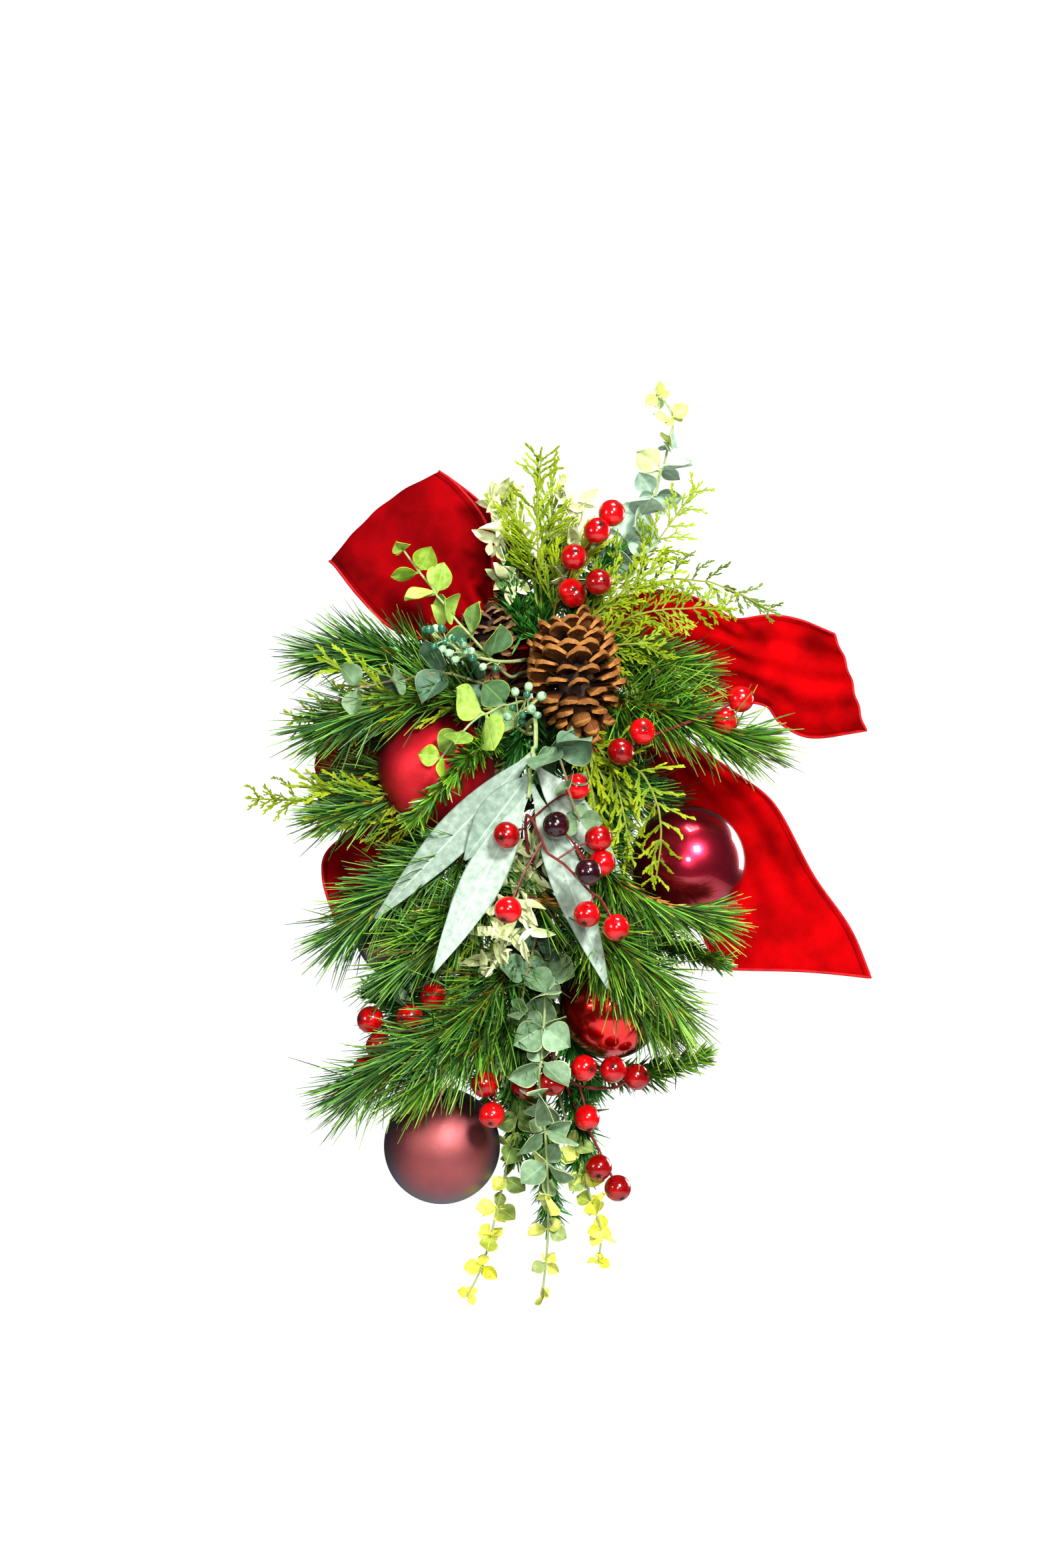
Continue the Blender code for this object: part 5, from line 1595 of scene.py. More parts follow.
@dataclass
class CedarFrond(Piece):
    """A frond of cedar: branchlets of overlapping scales on a twig."""

    finish: ScaleFinish
    kind: FrondKind

    END_REACH = 6.0
    TWIG_RADII = (1.0, 0.55)
    STALK_RADII = (0.55, 0.25)
    DROOP_SCATTER = 0.07
    BOW_SCATTER = 0.06
    FIRST_SIDE, LAST_SIDE = 0.1, 0.92
    FORKS = ((1.0, 0.35), (-1.0, 0.55))

    @property
    def slot(self) -> str:
        """The material slot of all the cedar."""
        return "cedar_green"

    def held(self, chance: Chance) -> tuple[StemLine, list[Branchlet]]:
        """Reads its shape off the frame, and sets more branchlets between neighbours.

        Args:
            chance: The source of their small differences.

        Returns:
            The twig's line, and each branchlet's foot, tip and facing.
        """
        form = NodeForm(self.node)
        leaves = form.leaves(0.9)
        line = form.stem()
        forms = [(leaf.foot, leaf.middles[-1], leaf.normal) for leaf in leaves]
        order = sorted(leaves, key=lambda leaf: line.share_of(leaf.foot))
        for first, second in zip(order, order[2:]):
            facing = unit(first.normal + second.normal * math.copysign(1, first.normal @ second.normal))
            low, high = line.share_of(first.foot), line.share_of(second.foot)
            for step in range(self.kind.between):
                t = (step + 1) / (self.kind.between + 1) + chance.normal(0, 0.06)
                foot = line.at(line.length * (low * (1 - t) + high * t))
                tip = first.middles[-1] * (1 - t) + second.middles[-1] * t
                forms.append((foot, foot + (tip - foot) * chance.uniform(0.75, 0.95), facing))
        return line, [*forms, self.end_of(line, leaves[0].normal)]

    def end_of(self, line: StemLine, facing: Array) -> Branchlet:
        """The branchlet that ends the frond, a little past its twig."""
        tip = line.points[-1] + line.heading(line.length) * self.END_REACH * MM
        return line.at(line.length * 0.85), tip, facing

    def build(self) -> None:
        """Grows every branchlet, then the twig."""
        chance = seeded(self.node)
        line, forms = self.held(chance)
        growth = Growth()
        stalks = [line.rod(*self.TWIG_RADII)]
        for form in forms:
            stalks.append(self.branchlet(growth, form, line.share_of(form[0]), chance))
        self.show("scales", growth.mesh(), self.finish)
        self.show("twig", wire_mesh(stalks, 0), Paints.CEDAR_TWIG)

    def branchlet(
        self, growth: Growth, form: Branchlet, share: float, chance: Chance
    ) -> tuple[Array, Array]:
        """Grows one branchlet in its own plane.

        Args:
            growth: What its scales are planted in.
            form: Where it leaves the twig, where it ends, and the way that its flat side faces.
            share: How far out on the frond it grows.
            chance: The source of its small differences.

        Returns:
            Its own stalk's points and radii.
        """
        kind, (foot, tip, normal) = self.kind, form
        length, along = float(np.linalg.norm(tip - foot)), unit(tip - foot)
        normal = unit(normal - along * (normal @ along))
        side = np.cross(normal, along)
        droop = chance.normal(0.0, self.DROOP_SCATTER) * length
        bow = chance.normal(0.0, self.BOW_SCATTER) * length

        def spot(v: Array, off: Array) -> Array:
            """Points this share along and this far to the side.

            Args:
                v: The shares of the length.
                off: The distances to the side, in metres.

            Returns:
                The points.
            """
            hump = 4 * v * (1 - v)
            ahead = foot + along * (v * length)[:, None] + side * (off + bow * hump)[:, None]
            return ahead + normal * (droop * hump + 0.12 * np.abs(off))[:, None]

        marks = np.linspace(0.05, 1.0, max(int(length / (kind.spacing * MM)), 6))
        points, ways, shares = [spot(marks, marks * 0)], [np.tile(along, (len(marks), 1))], [marks]
        starts = np.arange(self.FIRST_SIDE, self.LAST_SIDE, kind.every * MM / length)
        for place, start in enumerate(starts):
            hand = 1.0 if place % 2 else -1.0
            reach = length * kind.share * (1.05 - start) ** 0.75 * chance.uniform(0.8, 1.15)
            reach *= min(1.0, 0.45 + start * 2.2)
            angle = math.radians(kind.angle + chance.normal(0, 5))
            steps = np.arange(kind.spacing * MM, max(reach, 2.5 * kind.spacing * MM), kind.spacing * MM)
            out = steps / steps[-1]
            off = hand * steps * math.sin(angle) * (1.0 - 0.35 * out)
            sub = spot(start + steps * math.cos(angle) / length, off)
            runs = unit(np.gradient(sub, axis=0))
            points.append(sub)
            ways.append(runs)
            shares.append(start + (1 - start) * out * 0.9)
            if not kind.forks or len(steps) <= 5:
                continue
            for fork, at in self.FORKS:
                base = int(len(steps) * at)
                way = unit(runs[base] + side * fork * 0.7)
                small = steps[: max(len(steps) // 3, 2)]
                points.append(sub[base] + way * small[:, None])
                ways.append(np.tile(way, (len(small), 1)))
                shares.append(np.full(len(small), 0.9))
        places, way, out = np.vstack(points), np.vstack(ways), np.concatenate(shares)
        count = len(places)
        up, across = square_to(way, np.tile(normal, (count, 1)))
        hands = np.where(np.arange(count) % 2 == 0, 1.0, -1.0)[:, None]
        lean = unit(way + across * hands * kind.lean + up * chance.normal(0, 0.16, (count, 1)))
        _, across = square_to(lean, up)
        sizes = np.array(kind.scale) * MM * chance.uniform(0.8, 1.2, (count, 1))
        tints = np.clip(chance.random() * 0.6 + chance.random(count) * 0.4, 0, 1)
        out = np.clip(out * 0.7 + share * 0.3, 0, 1)
        stamp = rod_stamp(3, (0.0, 0.7), (0.45, 1.0), (1.0, 0.15))
        growth.plant(stamp, places - lean * sizes[:, 1:2] * 0.3, across, lean, sizes, tints, out)
        ends = np.linspace(0.0, 0.8, 8)
        return spot(ends, ends * 0), np.linspace(*self.STALK_RADII, 8) * MM


@dataclass
class InnerFrond(CedarFrond):
    """A frond of cedar that fills the swag between the frame's own."""

    line: Edge = ()
    reach: float = 34.0
    pairs: int = 6

    END_REACH = 8.0
    FIRST_PAIR = 0.3
    PAIRED_SHARE = 0.62

    def held(self, chance: Chance) -> tuple[StemLine, list[Branchlet]]:
        """Lays a smooth twig through its places, with branchlets to either side.

        Args:
            chance: The source of their small differences.

        Returns:
            The twig's line, and each branchlet's foot, tip and facing.
        """
        line = StemLine(smooth_line(measured(self.line)))
        forms = []
        for place in range(self.pairs * 2):
            share = self.FIRST_PAIR + self.PAIRED_SHARE * place / (self.pairs * 2 - 1)
            foot, along = line.at(share * line.length), line.heading(share * line.length)
            side = unit(np.cross(along, TO_VIEWER)) * (1 if place % 2 else -1)
            turn = math.radians(self.kind.angle + chance.normal(0, 6))
            toward = np.array((0.0, chance.normal(0, 0.25), 0.0))
            way = unit(along * math.cos(turn) + side * math.sin(turn) + toward)
            tip = foot + way * self.reach * MM * chance.uniform(0.8, 1.1) * (1.15 - 0.5 * share)
            forms.append((foot, tip, unit(TO_VIEWER + chance.normal(0, 0.3, 3))))
        return line, [*forms, self.end_of(line, forms[0][2])]


@dataclass
class PineCone(Piece):
    """An open cone: scales set in spirals on a core, on a wired stem."""

    finish: WoodFinish
    scales: int
    widening: float = 1.0
    degree: int = 4
    droop: float = 10.5
    foot_share: float = 0.48
    foot_drop: float = 9.0
    foot_taper: float = 0.8

    HEIGHT_SCATTER = 0.4 * MM
    TURN_SCATTER = 0.06
    TIP_SCATTER = 1.6 * MM
    SEAT_DEPTH = 0.85
    REACH_RANGE = (0.92, 1.05)
    WIDTH_RANGE = (0.85, 1.12)
    STEM_RADIUS = 1.5 * MM

    def build(self) -> None:
        """Reads the cone's shape off the frame's scales, then sets its own from foot to top."""
        form, chance = NodeForm(self.node), seeded(self.node)
        held = form.leaves(2.2)
        line = form.stem()
        feet, tips = np.array([leaf.foot for leaf in held]), np.array([leaf.middles[-1] for leaf in held])
        middle = feet.mean(axis=0)
        axis = np.linalg.svd(feet - middle)[2][0]
        axis *= math.copysign(1.0, axis[2])
        heights = (feet - middle) @ axis
        low, high = heights.min(), heights.max()

        def read(values: Array, at: Array) -> Array:
            """A smooth run of the frame's values over these heights."""
            return np.polyval(np.polyfit(heights, values, self.degree), at)

        cores, reaches = (np.linalg.norm(np.cross(ends - middle, axis), axis=1) for ends in (feet, tips))
        widths = np.array([leaf.width for leaf in held])
        count = self.scales
        at = np.linspace(low, high, count) + chance.normal(0, self.HEIGHT_SCATTER, count)
        at = np.clip(at, low, high)
        share = (at - low) / (high - low)
        narrow = np.clip(1 - share / self.foot_share, 0, 1) ** 1.5
        hint, side = square_to(axis[None], np.array([[1.0, 0.2, 0.0]]))
        turns = np.arange(count) * GOLDEN_ANGLE + chance.normal(0, self.TURN_SCATTER, count)
        turns = turns[:, None]
        out = np.cos(turns) * hint + np.sin(turns) * side
        origins = middle + axis * at[:, None] + out * read(cores, at)[:, None] * self.SEAT_DEPTH
        rise = read((tips - middle) @ axis, at) + chance.normal(0, self.TIP_SCATTER, count)
        rise -= (self.droop * (1 - 0.35 * share) + self.foot_drop * narrow) * MM
        reach = read(reaches, at) * (1 - self.foot_taper * narrow) * chance.uniform(*self.REACH_RANGE, count)
        ends = middle + axis * rise[:, None] + out * reach[:, None]
        lengths = np.linalg.norm(ends - origins, axis=1) * 1.05
        way = unit(ends - origins)
        _, across = square_to(way, axis + chance.normal(0, 0.14, (count, 3)))
        halves = read(widths, at) * self.widening * chance.uniform(*self.WIDTH_RANGE, count)
        halves *= 0.92 + 0.3 * share - 0.3 * narrow
        sizes = np.stack([halves, lengths, halves], axis=1)
        bends = lengths * (0.12 - 0.3 * np.clip(1 - share * 1.6, 0, 1))
        growth = Growth()
        growth.plant(self.scale_stamp(), origins, across, way, sizes, chance.random(count), share, bends)
        self.show("scales", growth.mesh(40.0), self.finish)
        steps = np.linspace(low, high, 14)
        core = (middle + axis * steps[:, None], read(cores, steps) * 1.05)
        before = line.points[(line.points - middle) @ axis < low]
        stem = (smooth_line(np.vstack([before[::6], middle + axis * low])), self.STEM_RADIUS)
        # The core and the cone's stem take the near-black finish that is painted shade between the scales.
        self.show("core", wire_mesh([core, stem], 3), Paints.CONE_CORE)

    def scale_stamp(self) -> Stamp:
        """A thin arched scale, round at its thick outer end and narrow at its foot.

        Returns:
            The scale.
        """
        stamp = blade_stamp(8, 9, (0.0, 0.28), (0.3, 0.5), (0.6, 0.86), (0.8, 1.0), (1.0, 0.97))
        points = stamp.points.copy()
        u, v = stamp.marks.T
        rim = np.exp(-(((v - 0.96) / 0.1) ** 2)) * (1 - 0.5 * u**2)
        points[:, 2] = (points[:, 2] - 0.5) * (0.1 + 0.36 * rim)
        points[:, 2] -= 0.34 * u**2 * (0.35 + 0.65 * v)
        points[:, 2] += 0.07 * np.exp(-((u / 0.25) ** 2)) * v**6 + 0.04 * np.sin(u * 9) * rim
        points[:, 1] -= 0.4 * (1 - np.sqrt(1 - 0.96 * u**2)) * v**2
        return stamp.shaped(points)


@dataclass
class BerryStem(Piece):
    """A stem of berries or seeds, each on its own stalk."""

    finish: BerryFinish
    radius: float = 8.4
    stalk: StalkFinish = Paints.BERRY_STALK
    stalk_radius: float = 0.75
    more: int = 0
    segments: int = 24
    long: float = 1.0
    facing: float = 0.7
    plump: float = 1.09
    star: Triple = (0.3, 0.13, 0.3)

    STEM_RADII = (1.5, 0.9)
    SPREAD_RANGE = (2.1, 3.2)
    LEAST_GAP = 1.9
    ROOT_BACK = 10 * MM
    FIRST_ROOT = 0.25

    def held(self) -> tuple[StemLine, list[Array]]:
        """Reads its shape off the frame.

        Returns:
            The stem's line and the middles of its balls.
        """
        form = NodeForm(self.node)
        centres = form.balls(self.radius)
        return form.stem(), centres

    def build(self) -> None:
        """Rounds the frame's balls, then hangs each on a bent stalk from the stem."""
        chance = seeded(self.node)
        line, centres = self.held()
        first, reach = len(centres), self.radius * MM
        for centre in centres[:]:
            for _ in range(self.more):
                spot = centre + unit(chance.normal(0, 1, 3)) * chance.uniform(*self.SPREAD_RANGE) * reach
                if all(np.linalg.norm(spot - c) > self.LEAST_GAP * reach for c in centres):
                    centres.append(spot)
        rods, balls, stars = [line.rod(*self.STEM_RADII)], Growth(), Growth()
        sphere, star = ball_stamp(self.segments, self.segments * 2 // 3), star_stamp(6, 0.6)
        for centre in centres:
            size = reach * (self.plump if len(centres) == first else chance.uniform(0.75, 1.05))
            root = max(line.share_of(centre) - self.ROOT_BACK / line.length, self.FIRST_ROOT)
            near = line.at(line.length * root)
            bent = near * 0.45 + centre * 0.55 + 0.05 * UP * np.linalg.norm(centre - near)
            seat = centre - unit(centre - near) * size * 0.6
            rods.append((smooth_line(np.array([near, bent, seat])), self.stalk_radius * MM))
            outward = unit(unit(centre - bent) + TO_VIEWER * self.facing)
            across, _ = square_to(outward[None], chance.normal(0, 1, (1, 3)))
            squash = chance.uniform(0.95, 1.02, 3) * (1.0, self.long, 1.0)
            tint = chance.random()
            balls.plant_one(sphere, centre, across, outward, squash * size, tint, 0.0)
            top = centre + outward * size * 0.93
            stars.plant_one(star, top, across, outward, np.array(self.star) * size, tint, 0.0)
        self.show("balls", balls.mesh(), self.finish)
        self.show("stars", stars.mesh(), Paints.CALYX)
        self.show("stalks", wire_mesh(rods), self.stalk)


@dataclass
class InnerBerries(BerryStem):
    """A stem of berries that shows between the frame's own."""

    line: Edge = ()
    spots: Edge = ()

    @property
    def slot(self) -> str:
        """The slot of the front berries."""
        return slot_of("berries_front")

    def held(self) -> tuple[StemLine, list[Array]]:
        """A smooth stem through its places, and the middles of its berries."""
        return StemLine(smooth_line(measured(self.line))), list(measured(self.spots))


CRIMP_OUTLINE = (
    (0.0, 1.0), (0.12, 1.06), (0.25, 0.98), (0.62, 0.96), (0.72, 0.88), (0.78, 0.6), (0.8, 0.2)
)


@dataclass
class Bauble(Piece):
    """A ball with its crimped cap, loop and wire pick."""

    finish: BaubleFinish
    radius: float = 40.0
    flutes: int = 16
    cap: Triple = (7.4, 9.0, 7.4)
    sunk: float = 1.2
    loop: float = 9.0
    bare: float = 6.0
    pick: float = 1.0

    def build(self) -> None:
        """Rounds the ball, crimps its cap and sets its pick."""
        low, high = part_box(self.node)
        centre = np.array((low + high) / 2)
        line = NodeForm(f"{self.node}_cap").stem()
        gaps = np.linalg.norm(line.points - centre, axis=1)
        top = line.points[int(np.abs(gaps - (self.radius + self.loop) * MM).argmin())]
        axis = unit(top - centre)
        across, _ = square_to(axis[None], UP[None])
        ball, cap = Growth(), Growth()
        ball.plant_one(ball_stamp(72, 48), centre, across, axis, self.radius * MM, 0.5, 1.0)
        self.show("ball", ball.mesh(), self.finish)
        stamp = rod_stamp(self.flutes * 4, *CRIMP_OUTLINE)
        turn = np.arctan2(stamp.points[:, 2], stamp.points[:, 0])
        flute = 1 + 0.045 * np.cos(turn * self.flutes) * (stamp.marks[:, 1] < 0.7)
        stamp = stamp.shaped(stamp.points * np.stack([flute, np.ones_like(flute), flute], axis=1))
        seat = centre + axis * (self.radius - self.sunk) * MM
        cap.plant_one(stamp, seat, across, axis, np.array(self.cap) * MM, 1.0, 1.0)
        pick = wire_mesh([(line.points[gaps > (self.radius + self.bare) * MM], self.pick * MM)], 2)
        node = f"{self.node}_cap"
        show(cap.mesh(), f"{self.node}_crimp", Paints.CAP, slot_of(node), node)
        show(pick, f"{self.node}_pick", Paints.PICK, slot_of(node), node)


# The ribbon's edges as x, z and depth in millimetres on the measuring plane, left and right.
LOOP_UPPER = (
    ((-16, -4, 20), (-52, -6, 34), (-88, 0, 42), (-112, 8, 40), (-134, 29, 33), (-152, 52, 24),
     (-156, 56, 17), (-150, 51, 11), (-129, 33, 9), (-104, 14, 9), (-60, 0, 9), (-16, -4, 13)),
    ((-14, 6, 20), (-36, 16, 34), (-42, 34, 42), (-44, 58, 41), (-49, 82, 34), (-69, 107, 24),
     (-78, 113, 17), (-72, 110, 11), (-48, 90, 9), (-34, 62, 9), (-24, 28, 9), (-14, 6, 13)),
)
LOOP_LOWER = (
    ((-16, -8, 19), (-50, -48, 28), (-90, -84, 33), (-130, -112, 28), (-163, -128, 21),
     (-166, -128, 15), (-160, -126, 10), (-120, -106, 8), (-70, -66, 8), (-16, -8, 13)),
    ((-14, 0, 19), (-50, -14, 27), (-90, -26, 31), (-128, -36, 27), (-155, -44, 21),
     (-158, -45, 15), (-152, -43, 10), (-112, -32, 8), (-60, -16, 8), (-14, 0, 13)),
)
TAIL_LEFT = (
    ((-18, -6, 16), (-60, -56, 13), (-104, -100, 12), (-142, -131, 12), (-158, -147, 18),
     (-160, -163, 24), (-152, -188, 22), (-146, -202, 18)),
    ((-10, -9, 16), (-30, -70, 14), (-52, -118, 10), (-76, -156, 7), (-88, -178, 7),
     (-94, -196, 8), (-98, -212, 8), (-100, -226, 9)),
)
TAIL_UPPER = (
    ((-2, -8, 17), (40, -30, 16), (96, -46, 26), (126, -42, 30), (146, -46, 22), (156, -58, 14),
     (172, -66, 16), (213, -61, 30)),
    ((-2, 6, 17), (40, 28, 16), (80, 33, 18), (104, 25, 28), (121, 15, 34), (150, 17, 22),
     (166, 14, 18), (189, 4, 30)),
)
TAIL_LOWER = (
    ((-2, -10, 15), (34, -50, 10), (58, -92, 7), (78, -140, 7), (94, -182, 10), (104, -210, 16),
     (110, -223, 20)),
    ((0, -2, 15), (60, -50, 11), (118, -88, 16), (148, -112, 24), (177, -163, 12),
     (201, -198, 20), (215, -230, 32)),
)


class Hold(Enum):
    """How a length of the ribbon is held."""

    LOOP = "gathered"
    TAIL = "hung"


@dataclass
class RibbonLength:
    """One loop or tail of the wired velvet ribbon, pleated where the knot gathers it."""

    name: str
    edges: tuple[Edge, Edge]
    hold: Hold
    flat: Pair
    wave: float = 3.2
    finish: VelvetFinish = Paints.VELVET_SHADED
    bulge: float = 0.0
    pleats: int = 4
    deepest: float = 6.5
    far_pleats: float = 0.35
    columns: int = 48
    rows_a_span: int = 9
    thickness: float = 0.7
    wire: float = 0.95
    back: float = 1.5
    pleat_fade: float = 50.0
    swell_length: float = 34.0
    ripple_length: float = 17.0
    frill_length: float = 12.0
    held_length: float = 45.0

    def build(self) -> None:
        """Lays the cloth between its two edges, thickens it, and wires its hems."""
        left, right = (smooth_line(measured(edge), self.rows_a_span) for edge in self.edges)
        rows = len(left) - 1
        mesh, mark = marked_mesh()
        bmesh.ops.create_grid(mesh, x_segments=self.columns, y_segments=rows, size=1.0)
        for corner in mesh.verts:
            corner[mark] = Vector((corner.co.x, (corner.co.y + 1) / 2, 0.0))
        points = self.draped(left, right, np.array([v[mark].xy for v in mesh.verts]))
        for corner, point in zip(mesh.verts, points):
            corner.co = point
        parts = mesh.faces[:] + mesh.verts[:] + mesh.edges[:]
        bmesh.ops.solidify(mesh, geom=parts, thickness=self.thickness * MM)
        growth = Growth()
        growth.plant_one(Stamp.of(mesh, mark))
        piece = show(growth.mesh(75.0), self.name, self.finish, "velvet_red", "ribbon_bow")
        hems = self.hem(points.reshape(rows + 1, self.columns + 1, 3))

    def draped(self, left: Array, right: Array, marks: Array) -> Array:
        """Spreads the cloth between its edges, with its pleats and waves.

        Args:
            left: The left edge's points.
            right: The right edge's points.
            marks: How far across, from -1 to 1, and along, from 0 to 1, each point is.

        Returns:
            The cloth's points.
        """
        chance = seeded(self.name)
        u, v = marks.T
        place = np.rint(v * (len(left) - 1)).astype(int)
        across = right[place] - left[place]
        width = np.linalg.norm(across, axis=1)
        points = (left[place] + right[place]) / 2 + across / 2 * u[:, None]
        middle = (left + right) / 2
        normal = unit(np.cross(unit(across), unit(np.gradient(middle, axis=0)[place])))
        steps = np.append(0.0, np.cumsum(np.linalg.norm(np.diff(middle, axis=0), axis=1)))
        length, gone = steps[-1], steps[place]
        near = gone
        if self.hold is Hold.LOOP:
            near = np.minimum(gone, length - gone)
            reach = middle - middle[0]
            out = unit(reach[int(np.linalg.norm(reach, axis=1).argmax())])
            crown = (1 - u**2) * np.sin(math.pi * gone / length) ** 2
            points += out * (crown * self.bulge * MM)[:, None]
        spare = np.sqrt(np.clip(self.flat[0] ** 2 - width**2, 0, None)) / (4 * self.pleats)
        fading = self.far_pleats + (1 - self.far_pleats) * np.exp(-near / (self.pleat_fade * MM))
        pleat = np.cos(u * math.pi * self.pleats) * np.minimum(spare * fading, self.deepest * MM)
        swell = np.sin(gone / (self.swell_length * MM) + u * 2.2 + chance.uniform(0, 6))
        swell += 0.4 * np.sin(gone / (self.ripple_length * MM) - u * 2.6 + chance.uniform(0, 6))
        free = np.clip(near / (self.held_length * MM), 0, 1)
        frill = np.abs(u) ** 3 * np.sin(gone / (self.frill_length * MM) + np.sign(u) * 1.3) * 1.3
        points += normal * (pleat + (swell * self.wave + frill) * free * MM)[:, None]
        points[:, 1] = np.minimum(points[:, 1], -self.back * MM)
        LOG.info("%s: %.0f mm long, %.0f mm wide", self.name, length / MM, width.max() / MM)
        return points

    def hem(self, grid: Array) -> bpy.types.Object:
        """Wires and rolls the hems along both edges, and round a tail's cut end.

        Args:
            grid: The cloth's points, row by row.

        Returns:
            The hems.
        """
        lines = [grid[:, 0], grid[:, -1]]
        if self.hold is Hold.TAIL:
            lines = [np.vstack([lines[0], grid[-1, 1:-1], lines[1][::-1]])]
        mesh = wire_mesh([(line, self.wire * MM) for line in lines], 2)
        return show(mesh, f"{self.name}_hem", Paints.VELVET_HEM, "velvet_red", "ribbon_bow")


@dataclass
class Bow:
    """The wide velvet bow: its loops and tails, and the knot that gathers them."""

    knot_half: Triple = (17.0, 7.6, 11.0)
    knot_place: Triple = (-6.0, -17.4, -1.0)
    lengths: tuple[RibbonLength, ...] = (
        # The loops and the left tail take the velvet's darker copy, which is painted shade.
        RibbonLength("ribbon_loop_upper", LOOP_UPPER, Hold.LOOP, (0.1, 0.3), 2.4, bulge=8.0),
        RibbonLength("ribbon_loop_lower", LOOP_LOWER, Hold.LOOP, (0.1, 0.36)),
        RibbonLength("ribbon_tail_left", TAIL_LEFT, Hold.TAIL, (0.1, 0.25)),
        RibbonLength("ribbon_tail_upper", TAIL_UPPER, Hold.TAIL, (0.1, 0.22), finish=Paints.VELVET),
        RibbonLength("ribbon_tail_lower", TAIL_LOWER, Hold.TAIL, (0.1, 0.29), 3.6, Paints.VELVET),
    )

    def build(self) -> None:
        """Ties the knot, then lays each length."""
        sphere = ball_stamp(48, 32)
        turn = np.arctan2(sphere.points[:, 2], sphere.points[:, 1])
        folds = 1 + 0.05 * np.cos(turn * 9) * (1 - sphere.points[:, 0] ** 2) + 0.03 * np.cos(turn * 5 + 1)
        shape = sphere.points * np.stack([np.ones_like(folds), folds, folds], axis=1)
        place, half = np.array(self.knot_place) * MM, np.array(self.knot_half) * MM
        knot = Growth()
        knot.plant_one(sphere.shaped(shape), place, size=half, tint=1.0, share=1.0)
        show(knot.mesh(), "ribbon_knot", Paints.VELVET_HEM, "velvet_red", "ribbon_bow")
        for length in self.lengths:
            length.build()


@dataclass
class Spine:
    """The taped bundle of stems, and the wire eye that it hangs by, in millimetres."""

    top: float = 7.5
    bottom: float = -299.5
    radius_top: float = 8.6
    radius_bottom: float = 4.2
    place: Pair = (-8.0, -34.0)
    lap: float = 7.0
    rings: int = 260
    eye_radius: float = 11.8
    eye_wire: Pair = (1.75, 1.15)
    eye_middle: Pair = (-1.2, -10.0)
    shank_radius: float = 1.15
    shank: Edge = (
        (0, -1.3, -21.4), (-1.0, -2.2, -30.8), (-4.5, -10.0, -42.0), (-6.0, -20.0, -50.0),
        (-7.5, -26.0, -51.5),
    )

    def build(self) -> None:
        """Winds the tape in laps down the bundle, then bends the eye and its shank."""
        share = np.linspace(0, 1, self.rings)
        heights = self.top + (self.bottom - self.top) * share
        lap = np.mod((self.top - heights) / self.lap, 1.0)
        radii = self.radius_top + (self.radius_bottom - self.radius_top) * share
        radii = radii * np.sqrt(np.clip(np.minimum(share, 1 - share) * 60, 0.15, 1)) - 0.5 * lap
        points = np.stack([share * 0 + self.place[0], share * 0 + self.place[1], heights], axis=1)
        mesh = wire_mesh([(points * MM, radii * MM)], 8)
        show(mesh, "taped_bundle", Paints.TAPE, "stem_tape", "stem_bundle")
        show(self.eye(), "eye_ring", Paints.STEEL, "hook_wire", "hanger_eye")
        mesh = wire_mesh([(smooth_line(np.array(self.shank) * MM), self.shank_radius * MM)], 2)
        show(mesh, "eye_shank", Paints.STEEL, "hook_wire", "hanger_eye")

    def eye(self) -> Mesh:
        """Spins the flattened ring.

        Returns:
            The ring.
        """
        mesh = bmesh.new()
        profile = bmesh.ops.create_circle(mesh, cap_ends=False, segments=16, radius=1.0)["verts"]
        depth, height = self.eye_middle
        for corner in profile:
            x, y = corner.co.x * self.eye_wire[0], corner.co.y * self.eye_wire[1]
            corner.co = Vector((self.eye_radius + x, depth + y, 0.0)) * MM
        bmesh.ops.spin(
            mesh, geom=profile + mesh.edges[:], cent=(0, 0, 0), axis=(0, 1, 0), angle=math.tau, steps=72,
            use_merge=True, use_duplicate=False,
        )
        bmesh.ops.translate(mesh, verts=mesh.verts, vec=(0, 0, height * MM))
        return tidy_mesh(mesh, bpy.data.meshes.new("eye_ring"))


